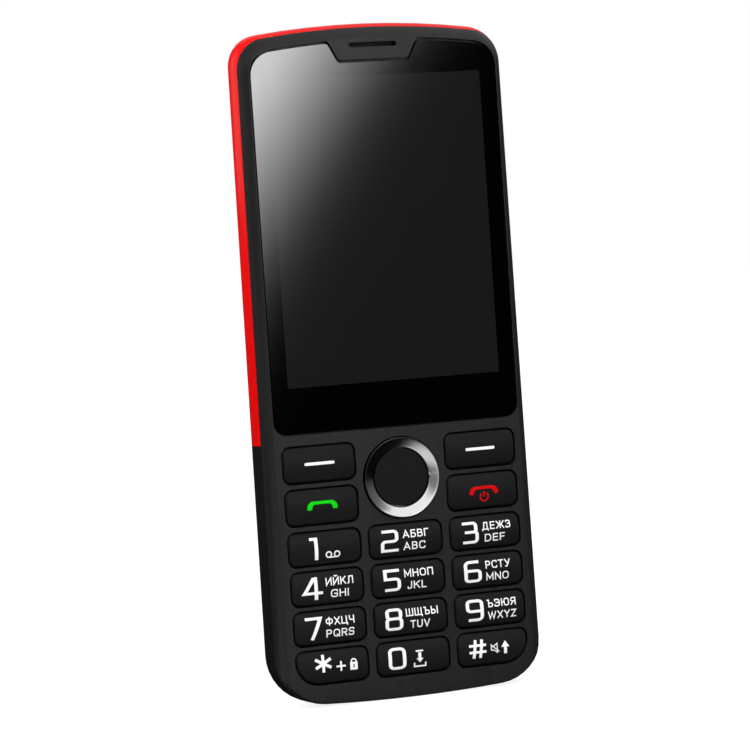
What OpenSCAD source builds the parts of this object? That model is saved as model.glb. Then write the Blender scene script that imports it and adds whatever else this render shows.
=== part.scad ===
// Bar-shaped feature phone with a number keypad, a direction ring and a removable rear cover.
// X runs to the right, Y from the front to the back and Z up along the phone. Sizes are in millimetres.
// A depth is a distance behind the flat front face.

/* [Body] */
// Width of the phone across its sides
body_w = 54.2; // [53:0.2:57]
// How much each side stands further out at the bottom than at mid-height, and further in at the top
side_taper = 0.35; // [0.2:0.05:0.5]
// Radius of the front edge along the sides
front_edge_r = 3.4; // [3:0.1:3.8]
// Radius of the front edge along the top
top_edge_r = 6; // [5:0.5:7]
// Radius of the front edge along the bottom
bottom_edge_r = 0.4; // [0.2:0.1:0.6]
// Radius of the back edge along the sides
back_edge_r = 8; // [7:0.5:8.5]
// Radius of the back edge along the top
back_top_r = 4; // [3:0.5:5]
// Radius of the back edge along the bottom
back_bottom_r = 3; // [2.5:0.5:4]
// Radius of the two top corners
top_corner_r = 6; // [5.5:0.5:7]
// Radius of the two bottom corners
bottom_corner_r = 9.5; // [8:0.5:10]
// Radius of the bowed top edge
top_bow_r = 170; // [140:10:300]
// Radius of the bowed bottom edge
bottom_bow_r = 300; // [200:20:500]

/* [Housing] */
// Seat under the lens, which is also the plate round the display
ledge_t = 0.6; // [0.5:0.1:0.8]
// Depth of the front housing's rim behind its plate
front_rim = 0.2; // [0.15:0.05:0.3]
// Wall of the front housing at its rim
front_wall = 1.7; // [1.5:0.1:1.8]
// Wall of the rear frame's lower shell
rear_wall = 1.3; // [1.1:0.1:1.5]
// Wall of the rear frame round the board
frame_wall = 1.35; // [1.2:0.05:1.5]
// Solid bar between the battery bay and the lower shell
bulkhead_t = 2; // [1.5:0.5:3]
// Floor of the battery bay
tray_t = 0.8; // [0.6:0.1:1]
// How far the frame's side walls stop short of the battery's back
frame_short = 0.7; // [0.5:0.1:1]
// Gap round a fixed piece in its seat
seat_gap = 0.3; // [0.2:0.05:0.35]

/* [Rear cover] */
// Thickness of the rear cover
cover_t = 1.1; // [0.9:0.1:1.2]
// Gap between the rear cover and the frame under it
cover_gap = 0.25; // [0.2:0.05:0.35]
// Parting gap at the rear cover's edges
part_gap = 0.1; // [0.08:0.02:0.2]
// How far the rear cover reaches below the lens
cover_foot = 1.8; // [1:0.2:2.2]

/* [Lens and display] */
// Thickness of the lens
lens_t = 1; // [0.8:0.1:1.2]
// How far the lens lies below the front face
lens_sink = 0.05; // [0.02:0.01:0.1]
// Thickness of the adhesive under the lens
adhesive_t = 0.15; // [0.1:0.05:0.25]
// Width of the adhesive's clear edge at the lens rim
adhesive_edge = 0.5; // [0.3:0.1:0.7]
// Gap round the lens
lens_gap = 0.27; // [0.2:0.01:0.3]
// Flat lip of the front housing round the lens
lens_lip = 0.15; // [0.1:0.05:0.25]
// Frame width beside the lens
lens_side = 2.35; // [2.2:0.05:2.5]
// Frame width above the lens, at the middle
lens_top_band = 3.38; // [3.2:0.01:3.6]
// Space between the upper keys and the lens
lens_foot = 2.45; // [2.2:0.05:3]
// Radius of the lens's top corners
lens_top_corner_r = 4.5; // [4:0.1:5]
// Radius of the lens's bottom corners
lens_bottom_corner_r = 2.5; // [2:0.1:3]
// Lens border beside the display
display_side = 3.15; // [2.8:0.05:3.6]
// Height of the display's active area
display_h = 57.6; // [55:0.2:60]
// Lens below the display
display_chin = 8.6; // [8:0.1:10]
// Lens above the display, at the middle
display_brow = 6.77; // [6.5:0.01:7.5]
// Edge of the display panel round its active area, at the sides and the top
panel_edge = 2; // [1.8:0.1:2.2]
// Edge of the display panel below its active area
panel_foot = 3.4; // [3:0.1:4]
// Thickness of the display panel
panel_t = 1.2; // [1:0.1:1.4]
// Thickness of the backlight frame
backlight_t = 0.8; // [0.6:0.1:1]
// How far the window in the ledge is wider than the active area, all round
window_edge = 0.8; // [0.5:0.1:1]
// Thickness of the display cable
cable_t = 0.2; // [0.1:0.05:0.25]
// Width of the display cable
cable_w = 16; // [10:1:20]
// Length of the display cable that lies flat
cable_l = 12; // [8:1:16]

/* [Earpiece] */
// Width of the tongue at its top
tongue_top_w = 18.4; // [17:0.2:20]
// Width of the tongue at its bottom
tongue_bottom_w = 14.4; // [13:0.2:16]
// How far the tongue reaches below the lens's top
tongue_drop = 3.97; // [3.7:0.01:4.3]
// Radius of the tongue's bottom corners
tongue_r = 1; // [0.8:0.1:1.2]
// Radius where the tongue runs into the frame
tongue_flare_r = 0.7; // [0.5:0.1:0.9]
// Width of the earpiece slot
earpiece_w = 9.7; // [8:0.1:11]
// Height of the earpiece slot
earpiece_h = 0.9; // [0.7:0.1:1.1]
// Middle of the earpiece slot below the lens's top
earpiece_drop = 0.95; // [0.8:0.05:1.2]
// Edge of the earpiece mesh round the slot
mesh_edge = 0.5; // [0.3:0.1:0.6]
// Thickness of the meshes
mesh_t = 0.2; // [0.1:0.05:0.3]
// Width of the earpiece receiver
receiver_w = 11; // [10:0.5:12]
// Height of the earpiece receiver
receiver_h = 3.6; // [3:0.2:3.8]

/* [Keypad] */
// Height of a number key
key_h = 6.36; // [6:0.02:6.8]
// Space between two rows of number keys
row_gap = 1.08; // [1.06:0.02:1.4]
// Height of the call and end keys
call_key_h = 6.75; // [6.4:0.05:7.2]
// Height of the soft keys
soft_key_h = 6.8; // [6.4:0.05:7.2]
// Space between the top row of numbers and the call key
call_gap = 1.3; // [1.2:0.05:1.6]
// Space between the call key and the soft key
soft_gap = 1.22; // [1.1:0.02:1.5]
// Space between the bottom edge and the lowest keys
keypad_foot = 4.4; // [4.3:0.1:5.6]
// Width of a key in the middle column
mid_key_w = 14.8; // [14:0.1:15.4]
// Space between two columns of keys
col_gap = 1.85; // [1.6:0.05:2.2]
// Space between the outer keys and the phone's side
key_side = 3.44; // [3.4:0.02:3.8]
// Corner radius of a key
key_r = 1.5; // [1.2:0.1:1.9]
// Radius of the outer lower corner of the lowest outer keys
key_sweep_r = 4.5; // [3.5:0.5:5]
// Gap round a key in its opening
key_gap = 0.25; // [0.2:0.01:0.27]
// How far a key stands out of the front face
key_proud = 0.2; // [0.1:0.05:0.3]
// How far a key travels
key_travel = 0.3; // [0.2:0.05:0.35]
// Reach of a key's flange behind the plate
flange_lip = 0.15; // [0.1:0.01:0.18]
// Thickness of a key's flange
flange_t = 0.4; // [0.3:0.05:0.45]
// Running gap between a flange and the plate, and between a plunger and its dome
run_gap = 0.1; // [0.08:0.01:0.15]
// Radius of a key's plunger
plunger_r = 1.2; // [1:0.1:1.4]
// Thickness of the silicone mat's web
web_t = 0.4; // [0.3:0.05:0.45]
// Wall of the silicone mat's rim
mat_rim = 0.6; // [0.5:0.05:0.65]
// Thickness of the dome sheet
dome_sheet_t = 0.1; // [0.05:0.05:0.15]
// Radius of a metal dome
dome_r = 2; // [1.8:0.1:2.2]
// Height of a metal dome
dome_h = 0.3; // [0.2:0.05:0.35]

/* [Direction ring] */
// Outer radius of the ring
nav_r = 7.6; // [7.2:0.05:7.7]
// Width of the ring
nav_w = 1.95; // [1.7:0.05:2.2]
// How far the ring's rim stands out of the front face
nav_proud = 0.5; // [0.3:0.05:0.7]
// Bevel of the ring's rim
nav_bevel = 0.25; // [0.15:0.05:0.35]
// Depth of the ok key's face
ok_sink = 0.15; // [0.05:0.05:0.25]
// Thickness of the ok key's disc
ok_t = 1.45; // [1.2:0.05:1.6]
// Room behind the plate for the ring's flange to rock
nav_room = 0.55; // [0.5:0.05:0.65]
// Thickness of the ring's flange
nav_flange_t = 0.35; // [0.3:0.05:0.4]
// Width of the rocker bar under the ring
carrier_w = 3; // [2.6:0.2:3.4]
// Thickness of the rocker bar
carrier_t = 0.3; // [0.2:0.05:0.35]
// Hole of the rocker bar round the ok key's plunger
carrier_hole_r = 1.7; // [1.6:0.1:1.8]
// Outer radius of the rocker bar's eye
carrier_eye_r = 2.6; // [2.4:0.1:3]
// Distance of the ring's four domes from its middle
nav_dome_r = 5.6; // [5:0.1:5.8]

/* [Board and screws] */
// Thickness of the main board
board_t = 0.8; // [0.6:0.1:1]
// Edge of the main board inside the phone's side
board_edge = 3; // [2.9:0.05:3.2]
// Air between the display cable and the main board
board_gap = 0.2; // [0.15:0.05:0.3]
// Air between the main board and the battery bay's floor
tray_gap = 0.6; // [0.5:0.1:0.8]
// Radius of a screw boss
boss_r = 1.7; // [1.6:0.05:1.9]
// Radius of a screw's shank
screw_r = 0.7; // [0.6:0.05:0.75]
// Clearance round a screw's shank
screw_gap = 0.05; // [0.03:0.01:0.1]
// Radius of a screw's head
screw_head_r = 1.4; // [1.2:0.05:1.5]
// Height of a screw's head
screw_head_t = 0.8; // [0.6:0.1:1]
// Distance of the upper screws from the middle
screw_top_x = 12.6; // [12.3:0.1:13]
// Distance of the lower screws from the phone's side
screw_low_side = 4.5; // [4.3:0.1:4.8]
// Height of the lower screws above the lens's bottom
screw_low_up = 2.3; // [2.1:0.1:2.5]

/* [Battery bay] */
// Space between the battery and the phone's side
battery_side = 7.4; // [7.1:0.1:8.5]
// Height of the battery
battery_h = 50; // [46:0.5:51]
// Thickness of the battery
battery_t = 5.4; // [5:0.1:6]
// Corner radius of the battery
battery_r = 1; // [0.5:0.1:1.5]
// Gap round the battery
battery_gap = 0.3; // [0.2:0.05:0.4]
// Gap between the battery and the bay's floor
battery_lift = 0.1; // [0.08:0.02:0.2]
// Gap between the battery and the rear cover
battery_clear = 0.2; // [0.15:0.05:0.3]
// Bottom of the battery above the lens's bottom
battery_up = 6; // [5.8:0.1:6.4]
// Width of the battery contact block
contact_w = 9; // [8:0.5:11]
// Height of the battery contact block
contact_h = 3; // [2.6:0.1:3.2]
// Depth of the battery contact block behind the board
contact_t = 4.8; // [4.2:0.1:5.4]
// Number of battery contacts
contact_count = 3; // [2:1:4]
// Width of a card holder for a subscriber card
sim_w = 26; // [25.5:0.1:26.5]
// Height of a card holder for a subscriber card
sim_h = 15; // [14.8:0.1:15.6]
// Height of the card slot in the holders
card_slot = 0.9; // [0.85:0.05:0.95]
// Sheet thickness of the card holders
card_sheet = 0.15; // [0.1:0.05:0.2]
// Width of the memory card holder
memory_w = 11.4; // [11.2:0.1:11.6]
// Height of the memory card holder
memory_h = 15; // [14:0.1:16]
// Space between two card holders
card_space = 1.2; // [0.9:0.05:1.3]

/* [Camera] */
// Width of the camera window
camera_w = 20; // [18:0.5:22]
// Height of the camera window
camera_h = 8.5; // [8:0.1:9]
// Thickness of the camera window
camera_window_t = 0.75; // [0.6:0.05:0.9]
// How far the camera window lies below the back
camera_sink = 0.05; // [0.02:0.01:0.1]
// Rim of the frame round the camera window
camera_rim = 0.6; // [0.5:0.05:0.8]
// Middle of the camera window above the battery
camera_up = 7; // [6.5:0.1:8]
// Distance of the camera and the torch from the window's middle
camera_x = 5; // [4.6:0.1:5.4]
// Side of the camera module
camera_side = 8; // [7.4:0.1:8.4]
// Height of the camera module on the board
camera_t = 5.6; // [5.2:0.1:6]
// Radius of the camera's opening
camera_bore_r = 3; // [2.6:0.1:3.2]
// Radius of the torch's light guide
torch_r = 1.8; // [1.5:0.1:2]
// Width of the antenna plate
antenna_w = 7; // [6:0.5:7.5]
// Height of the antenna plate
antenna_h = 7; // [5:0.5:8]
// Thickness of the antenna plate
antenna_t = 0.2; // [0.1:0.05:0.3]

/* [Lower electronics] */
// Width of the loudspeaker
speaker_w = 15; // [13:0.5:17]
// Height of the loudspeaker
speaker_h = 11; // [9:0.5:12]
// Thickness of the loudspeaker
speaker_t = 3.4; // [3:0.1:3.6]
// Middle of the loudspeaker above the bottom edge
speaker_z = 26; // [24:0.5:28]
// Number of sound slots
slot_count = 5; // [3:1:5]
// Width of a sound slot
slot_w = 11; // [8:0.5:12]
// Height of a sound slot
slot_h = 0.9; // [0.7:0.1:1]
// Distance between two sound slots
slot_pitch = 2; // [1.7:0.1:2.1]
// Width of a shield can
can_w = 20; // [18:0.5:21]
// Height of a shield can
can_h = 16; // [14:0.5:17]
// Height of a shield can above the board
can_t = 1.6; // [1.4:0.1:1.7]
// Sheet thickness of a shield can
can_sheet = 0.2; // [0.15:0.05:0.25]
// Space between the two shield cans
can_space = 3; // [2:0.5:4]
// Side of a circuit chip
chip_side = 9; // [7:0.5:11]
// Height of a circuit chip
chip_t = 1; // [0.8:0.1:1.1]
// Radius of the vibration motor
motor_r = 4; // [3.5:0.1:4.5]
// Height of the vibration motor
motor_t = 2.7; // [2.2:0.1:3.2]
// Distance of the vibration motor and the headphone socket from the phone's side
socket_side = 13.1; // [12.8:0.1:14]
// Middle of the vibration motor above the bottom edge
motor_z = 12; // [11:0.5:14]
// Width of the USB socket's shell
usb_w = 7.8; // [7.5:0.1:8]
// Height of the USB socket's shell on the board
usb_t = 2.8; // [2.6:0.1:3]
// Length of the USB socket's shell
usb_l = 5.6; // [5:0.1:6]
// Sheet thickness of the USB socket's shell
usb_sheet = 0.3; // [0.25:0.05:0.4]
// Radius of the USB socket's corners
usb_r = 0.8; // [0.6:0.1:1]
// Contact tongue of the USB socket, width
usb_tongue_w = 4.6; // [4.2:0.1:5]
// Contact tongue of the USB socket, thickness
usb_tongue_t = 0.6; // [0.5:0.05:0.7]
// How far the sockets lie inside the bottom edge
socket_sink = 0.5; // [0.4:0.05:0.6]
// Radius of the headphone socket's bore
jack_r = 1.8; // [1.78:0.01:1.85]
// Length of the headphone socket's bore
jack_l = 12; // [11:0.5:14]
// Wall behind the headphone socket's bore
jack_end = 1; // [0.8:0.1:1.5]
// Side of the headphone socket's body
jack_side = 5.2; // [5:0.1:5.4]
// Radius of the headphone socket's nose
jack_nose_r = 2.5; // [2.3:0.05:2.55]
// Start of the headphone socket's body above the bottom edge
jack_up = 3.2; // [3:0.1:3.6]
// Distance of the microphone from the middle
mic_x = 9; // [8:0.5:9.5]
// Radius of the microphone
mic_r = 2; // [1.8:0.1:2.2]
// Height of the microphone on the board
mic_t = 1.5; // [1.2:0.1:1.8]
// Radius of the microphone's sound hole
mic_hole_r = 0.5; // [0.4:0.05:0.6]

/* [Hidden] */
$fn = 48;
// Steps along a rounded corner, the bowed ends, the front edge and the back edge
corner_steps = 9;
bow_steps = 8;
front_steps = 6;
straight_steps = 3;
back_steps = 9;
// Length by which cutting shapes reach past what they cut
over = 1;
// Bow of a straight end
straight_bow = 1e5;

hw = body_w / 2;
display_w = body_w - 2 * (lens_side + display_side);
battery_w = body_w - 2 * battery_side;
socket_x = hw - socket_side;

// Depths, from the front face to the back
lens_d = lens_sink + lens_t;
seat_d = lens_d + adhesive_t;
plate_t = seat_d + ledge_t;
seam_d = plate_t + front_rim;
panel_back = plate_t + panel_t;
display_back = panel_back + backlight_t;
board_d = display_back + cable_t + board_gap;
board_back = board_d + board_t;
tray_d = board_back + tray_gap;
tray_back = tray_d + tray_t;
battery_d = tray_back + battery_lift;
battery_back = battery_d + battery_t;
frame_d = battery_back - frame_short;
cover_in_d = battery_back + battery_clear;
body_t = cover_in_d + cover_t;
front_y = (nav_proud - body_t) / 2;

// Depths of the keypad's layers
flange_d = plate_t + run_gap;
flange_back = flange_d + flange_t;
web_d = flange_back + key_travel + run_gap;
dome_sheet_d = board_d - dome_sheet_t;
dome_d = dome_sheet_d - dome_h;
plunger_d = dome_d - key_travel - run_gap;
nav_flange_d = plate_t + nav_room;
nav_back = nav_flange_d + nav_flange_t;
carrier_d = nav_back + run_gap;

// Heights, from the bottom edge up
function row_z(n) = keypad_foot + key_h / 2 + n * (key_h + row_gap);
call_z = row_z(3) + key_h / 2 + call_gap + call_key_h / 2;
soft_z = call_z + call_key_h / 2 + soft_gap + soft_key_h / 2;
nav_z = (call_z - call_key_h / 2 + soft_z + soft_key_h / 2) / 2;
keypad_top = soft_z + soft_key_h / 2;
lens_z0 = keypad_top + lens_foot;
display_z0 = lens_z0 + display_chin;
display_z1 = display_z0 + display_h;
lens_z1 = display_z1 + display_brow;
body_l = lens_z1 + lens_top_band;
cover_z = lens_z0 - cover_foot;
frame_z = cover_z - part_gap;
battery_z = lens_z0 + battery_up + battery_h / 2;
camera_z = battery_z + battery_h / 2 + camera_up;
earpiece_z = lens_z1 - earpiece_drop;
panel_z1 = display_z1 + panel_edge;
panel_z0 = display_z0 - panel_foot;

// Keys: name, middle x, middle z, width, height, radius of the sweep corner's side (-1 left, 1 right)
outer_w = hw - key_side - mid_key_w / 2 - col_gap;
outer_x = hw - key_side - outer_w / 2;
function number_key(name, col, row, sweep = 0) =
    [name, col * outer_x, row_z(row), col == 0 ? mid_key_w : outer_w, key_h, sweep];
KEYS = [
    number_key("key_1", -1, 3), number_key("key_2", 0, 3), number_key("key_3", 1, 3),
    number_key("key_4", -1, 2), number_key("key_5", 0, 2), number_key("key_6", 1, 2),
    number_key("key_7", -1, 1), number_key("key_8", 0, 1), number_key("key_9", 1, 1),
    number_key("key_star", -1, 0, -1), number_key("key_0", 0, 0), number_key("key_hash", 1, 0, 1),
    ["call_key", -outer_x, call_z, outer_w, call_key_h, 0],
    ["end_key", outer_x, call_z, outer_w, call_key_h, 0],
    ["soft_key_left", -outer_x, soft_z, outer_w, soft_key_h, 0],
    ["soft_key_right", outer_x, soft_z, outer_w, soft_key_h, 0],
];

// Screws, as places in x and z
screw_top_z = panel_z1 + seat_gap + boss_r;
screw_low_z = lens_z0 + screw_low_up;
screw_low_x = hw - screw_low_side;
SCREWS = [
    [-screw_top_x, screw_top_z], [screw_top_x, screw_top_z],
    [-screw_low_x, screw_low_z], [screw_low_x, screw_low_z],
];

// Middles of the ring's four domes and of the ok key's dome
NAV_DOMES = concat([[0, nav_z]], [for (a = [0:90:270]) [nav_dome_r * cos(a), nav_z + nav_dome_r * sin(a)]]);

// Profile of the body: how far its skin lies inside the full outline at a depth.
// A wall w gives the matching surface inside the skin, which is straight towards the front.
side_band = lens_side - lens_gap - lens_lip;
top_band = lens_top_band - lens_gap - lens_lip;
front_crown = sqrt(pow(front_edge_r, 2) - pow(front_edge_r - side_band, 2));
top_crown = sqrt(pow(top_edge_r, 2) - pow(top_edge_r - top_band, 2));
back_crown = body_t - back_edge_r;
lens_seat_r = lens_top_corner_r + lens_gap + lens_lip;
function quarter(r, x) = sqrt(max(0, r * r - x * x));
function back_round(d, r, w) = r - quarter(r - w, d - (body_t - r));
function side_in(d, w = 0) =
    d > back_crown ? back_round(d, back_edge_r, w)
    : w == 0 && d < front_crown ? front_edge_r - quarter(front_edge_r, front_crown - d) : w;
function bottom_in(d, w = 0) =
    d > body_t - back_bottom_r ? back_round(d, back_bottom_r, w)
    : w == 0 && d < bottom_edge_r ? bottom_edge_r - quarter(bottom_edge_r, bottom_edge_r - d) : w;
function skin_top_in(d) =
    d < top_crown ? top_edge_r - quarter(top_edge_r, top_crown - d)
    : d > body_t - back_top_r ? back_round(d, back_top_r, 0) : 0;
function top_in(d, w = 0) =
    w == 0 ? skin_top_in(d)
    : max(w + skin_top_in(seam_d), d > body_t - back_top_r ? back_round(d, back_top_r, w) : w);
function top_corner(d, w = 0) =
    w == 0 && d < front_crown
        ? top_corner_r - (top_corner_r - lens_seat_r) * side_in(d) / side_band : top_corner_r - w;

// Points of an arc from angle a to angle b
function arc(x, z, r, a, b, n) = [for (i = [0:n]) [x + r * cos(a + (b - a) * i / n), z + r * sin(a + (b - a) * i / n)]];
function tail(list) = [for (i = [1:len(list) - 1]) list[i]];

// Outline with bowed ends and four rounded corners, which meet without a kink
function outline(hx, z0, z1, rb, rt, bow_b = bottom_bow_r, bow_t = top_bow_r) =
    let (
        cb = z0 + bow_b - sqrt(pow(bow_b - rb, 2) - pow(hx - rb, 2)),
        ct = z1 - bow_t + sqrt(pow(bow_t - rt, 2) - pow(hx - rt, 2)),
        fb = asin((hx - rb) / (bow_b - rb)),
        ft = asin((hx - rt) / (bow_t - rt))
    )
    concat(
        arc(0, z0 + bow_b, bow_b, -90 - fb, -90 + fb, bow_steps),
        tail(arc(hx - rb, cb, rb, -90 + fb, 0, corner_steps)),
        arc(hx - rt, ct, rt, 0, 90 - ft, corner_steps),
        tail(arc(0, z1 - bow_t, bow_t, 90 - ft, 90 + ft, bow_steps)),
        tail(arc(rt - hx, ct, rt, 90 + ft, 180, corner_steps)),
        [for (p = arc(rb - hx, cb, rb, 180, 270 - fb, corner_steps)) if (p.x < rb - hx - rb * sin(fb) - 1e-6) p]
    );

// Section of the body, or of the space inside a wall w, at a depth
function straight_section(d, w = 0) =
    outline(hw - side_in(d, w), bottom_in(d, w), body_l - top_in(d, w), bottom_corner_r - w, top_corner(d, w));
function section(d, w = 0) = flare(straight_section(d, w), w == 0 ? taper_at(d) : side_taper);
// The sides spread towards the bottom, but the front face keeps its even border
function flare(points, amount) = [for (p = points) [p.x * (1 + amount / hw * (1 - 2 * p.y / body_l)), p.y]];
function taper_at(d) = side_taper * (d < front_crown ? 1 - side_in(d) / side_band : 1);

// Section of the skin: near the front, the lower sides are a straight profile cut off by the outline
function skin(d) =
    let (
        slim = straight_section(d),
        full = outline(hw, bottom_in(d), body_l, bottom_corner_r, top_corner_r),
        limit = hw - side_in(d)
    )
    flare(d >= back_crown ? slim
        : [for (i = [0:len(slim) - 1])
            full[i].y > body_l / 2 ? slim[i] : [max(-limit, min(limit, full[i].x)), full[i].y]], taper_at(d));

// Depths at which the sections of the front and of the back are taken
function front_depths() = [for (i = [0:front_steps]) seam_d * pow(i / front_steps, 1.6)];
function back_depths(start, w = 0) = concat(
    [for (i = [0:straight_steps - 1]) start + (back_crown - start) * i / straight_steps],
    [for (i = [0:back_steps]) back_crown + (back_edge_r - w) * sin(90 * i / back_steps)]
);
function until(depths, last) = concat([for (d = depths) if (d < last - 0.05) d], [last]);

// Flat outline with a wall w off the full body
function plan(w) =
    flare(outline(hw - w, w, body_l - w - skin_top_in(seam_d), bottom_corner_r - w, top_corner_r - w), side_taper);

// Polygon with a rounded corner at each point that has a radius
function unit(v) = v / norm(v);
function rounded(points, radii, steps = 6) =
    let (n = len(points))
    [for (i = [0:n - 1])
        let (
            p = points[i],
            u = unit(points[(i + n - 1) % n] - p),
            v = unit(points[(i + 1) % n] - p),
            half = acos(u * v) / 2,
            c = p + unit(u + v) * radii[i] / sin(half),
            a = atan2(p.y + u.y * radii[i] / tan(half) - c.y, p.x + u.x * radii[i] / tan(half) - c.x),
            b = atan2(p.y + v.y * radii[i] / tan(half) - c.y, p.x + v.x * radii[i] / tan(half) - c.x),
            turn = (b - a + 540) % 360 - 180
        )
        each radii[i] == 0 ? [p] : arc(c.x, c.y, radii[i], a, a + turn, steps)];

// Solid through the sections at the given depths
module loft(sections, depths) {
    n = len(sections[0]);
    m = len(sections);
    points = [for (k = [0:m - 1]) for (p = sections[k]) [p.x, front_y + depths[k], p.y]];
    sides = [for (k = [0:m - 2]) for (i = [0:n - 1])
        let (a = k * n + i, b = k * n + (i + 1) % n)
        each [[a, b, b + n], [a, b + n, a + n]]];
    front = [[for (i = [n - 1:-1:0]) i]];
    back = [[for (i = [0:n - 1]) (m - 1) * n + i]];
    polyhedron(points, concat(front, sides, back));
}

// Flat shape in x and z, from one depth to another
module slab(d0, d1) {
    translate([0, front_y + d1, 0])
        rotate([90, 0, 0])
            linear_extrude(d1 - d0)
                children();
}

// Everything below or above a height
module below(z) {
    translate([-body_w, -body_w, z - 2 * body_l])
        cube([2 * body_w, 2 * body_w, 2 * body_l]);
}
module above(z) {
    translate([-body_w, -body_w, z])
        cube([2 * body_w, 2 * body_w, 2 * body_l]);
}

// Rectangle with true round corners, with radii from the lower left one round to the right
module round_rect(w, h, radii) {
    x = w / 2;
    z = h / 2;
    polygon([
        [radii[0] - x, -z], [x - radii[1], -z], [x, radii[1] - z], [x, z - radii[2]],
        [x - radii[2], z], [radii[3] - x, z], [-x, z - radii[3]], [-x, radii[0] - z],
    ]);
    for (i = [0:3]) {
        sx = i == 0 || i == 3 ? -1 : 1;
        sz = i < 2 ? -1 : 1;
        translate([sx * (x - radii[i]), sz * (z - radii[i])])
            intersection() {
                circle(radii[i]);
                translate([sx, sz] * radii[i] / 2)
                    square(radii[i], center = true);
            }
    }
}
module even_rect(w, h, r) {
    round_rect(w, h, [r, r, r, r]);
}
module stadium(w, h) {
    even_rect(w, h, h / 2 - 0.001);
}

// Outline of the lens, grown by g
module lens_shape(g = 0) {
    tongue_side = (tongue_top_w - tongue_bottom_w) / 2 / (tongue_drop - lens_edge_drop(tongue_top_w / 2));
    slim = g * (sqrt(1 + pow(tongue_side, 2)) - tongue_side);
    x_top = tongue_top_w / 2 - slim;
    x_bottom = tongue_bottom_w / 2 - slim;
    x_flare = tongue_top_w / 2 + 4 * tongue_flare_r;
    z_bottom = lens_z1 - tongue_drop + g;
    z_top = lens_z1 - lens_edge_drop(tongue_top_w / 2) + g;
    z_flare = lens_z1 - lens_edge_drop(x_flare) + g;
    flare = tongue_flare_r + g;
    foot = tongue_r - g;
    difference() {
        polygon(outline(hw - lens_side + g, lens_z0 - g, lens_z1 + g, lens_bottom_corner_r + g,
            lens_top_corner_r + g, straight_bow, top_bow_r - lens_top_band + g));
        polygon(rounded(
            [[-x_flare, z_top + over], [-x_flare, z_flare], [-x_top, z_top], [-x_bottom, z_bottom],
                [x_bottom, z_bottom], [x_top, z_top], [x_flare, z_flare], [x_flare, z_top + over]],
            [0, 0, flare, foot, foot, flare, 0, 0]));
    }
}
// Fall of the lens's bowed top edge at a distance from the middle
function lens_edge_drop(x) = let (r = top_bow_r - lens_top_band) r - quarter(r, x);

// Outline of a key, grown by g
module key_shape(key, g = 0) {
    left = key[5] < 0 ? key_sweep_r : key_r;
    right = key[5] > 0 ? key_sweep_r : key_r;
    translate([key[1], key[2]])
        round_rect(key[3] + 2 * g, key[4] + 2 * g, [left + g, right + g, key_r + g, key_r + g]);
}

module at_screws() {
    for (s = SCREWS)
        translate(s)
            children();
}

module display_rect(edge) {
    translate([0, (display_z0 + display_z1) / 2])
        square([display_w + 2 * edge, display_h + 2 * edge], center = true);
}
module panel_rect() {
    translate([0, (panel_z0 + panel_z1) / 2])
        square([display_w + 2 * panel_edge, panel_z1 - panel_z0], center = true);
}

module front_housing() {
    depths = front_depths();
    color([0.16, 0.16, 0.17]) {
        difference() {
            loft([for (d = depths) skin(d)], depths);
            slab(plate_t, seam_d + over) polygon(plan(front_wall));
            slab(-over, seat_d) lens_shape(lens_gap);
            slab(0, seam_d) display_rect(window_edge);
            slab(-over, seam_d) translate([0, earpiece_z]) stadium(earpiece_w, earpiece_h);
            for (key = KEYS)
                slab(-over, seam_d) key_shape(key, key_gap);
            slab(-over, seam_d) translate([0, nav_z]) circle(nav_r + key_gap);
        }
        difference() {
            slab(plate_t - ledge_t / 2, board_d) at_screws() circle(boss_r);
            slab(seam_d, board_d + over) at_screws() circle(screw_r + screw_gap);
        }
    }
}

module display_lens() {
    color([0.02, 0.02, 0.02]) slab(lens_sink, lens_d) lens_shape();
}

module lens_adhesive() {
    color([0.1, 0.1, 0.1])
        slab(lens_d, seat_d)
            difference() {
                lens_shape(-adhesive_edge);
                display_rect(window_edge);
            }
}

module display_panel() {
    color([0.09, 0.09, 0.1]) slab(plate_t, panel_back) panel_rect();
}

module backlight_frame() {
    color([0.7, 0.71, 0.72]) slab(panel_back, display_back) panel_rect();
}

module display_cable() {
    color([0.75, 0.5, 0.15])
        slab(display_back, display_back + cable_t)
            translate([0, panel_z0 + cable_l / 2])
                square([cable_w, cable_l], center = true);
}

module earpiece_mesh() {
    color([0.05, 0.05, 0.05])
        slab(plate_t, plate_t + mesh_t)
            translate([0, earpiece_z])
                square([earpiece_w + 2 * mesh_edge, earpiece_h + 2 * mesh_edge], center = true);
}

module earpiece_receiver() {
    color([0.55, 0.55, 0.57])
        slab(plate_t + mesh_t, board_d - board_gap)
            translate([0, panel_z1 + seat_gap + receiver_h / 2])
                square([receiver_w, receiver_h], center = true);
}

module key_cap(key) {
    color([0.11, 0.11, 0.12]) {
        slab(-key_proud, flange_d) key_shape(key);
        slab(flange_d, flange_back) key_shape(key, key_gap + flange_lip);
        slab(flange_back, plunger_d) translate([key[1], key[2]]) circle(plunger_r);
    }
}

module nav_ring() {
    r0 = nav_r - nav_w;
    r1 = nav_r + key_gap + flange_lip;
    color([0.75, 0.75, 0.77])
        translate([0, front_y, nav_z])
            rotate([-90, 0, 0])
                rotate_extrude()
                    polygon([
                        [r0, ok_sink], [nav_r - nav_bevel, -nav_proud], [nav_r, nav_bevel - nav_proud],
                        [nav_r, nav_flange_d], [r1, nav_flange_d], [r1, nav_back], [r0, nav_back],
                    ]);
}

module nav_carrier() {
    color([0.6, 0.6, 0.62])
        slab(carrier_d, carrier_d + carrier_t)
            translate([0, nav_z])
                difference() {
                    union() {
                        square([carrier_w, 2 * nav_r], center = true);
                        circle(carrier_eye_r);
                    }
                    circle(carrier_hole_r);
                }
}

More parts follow.
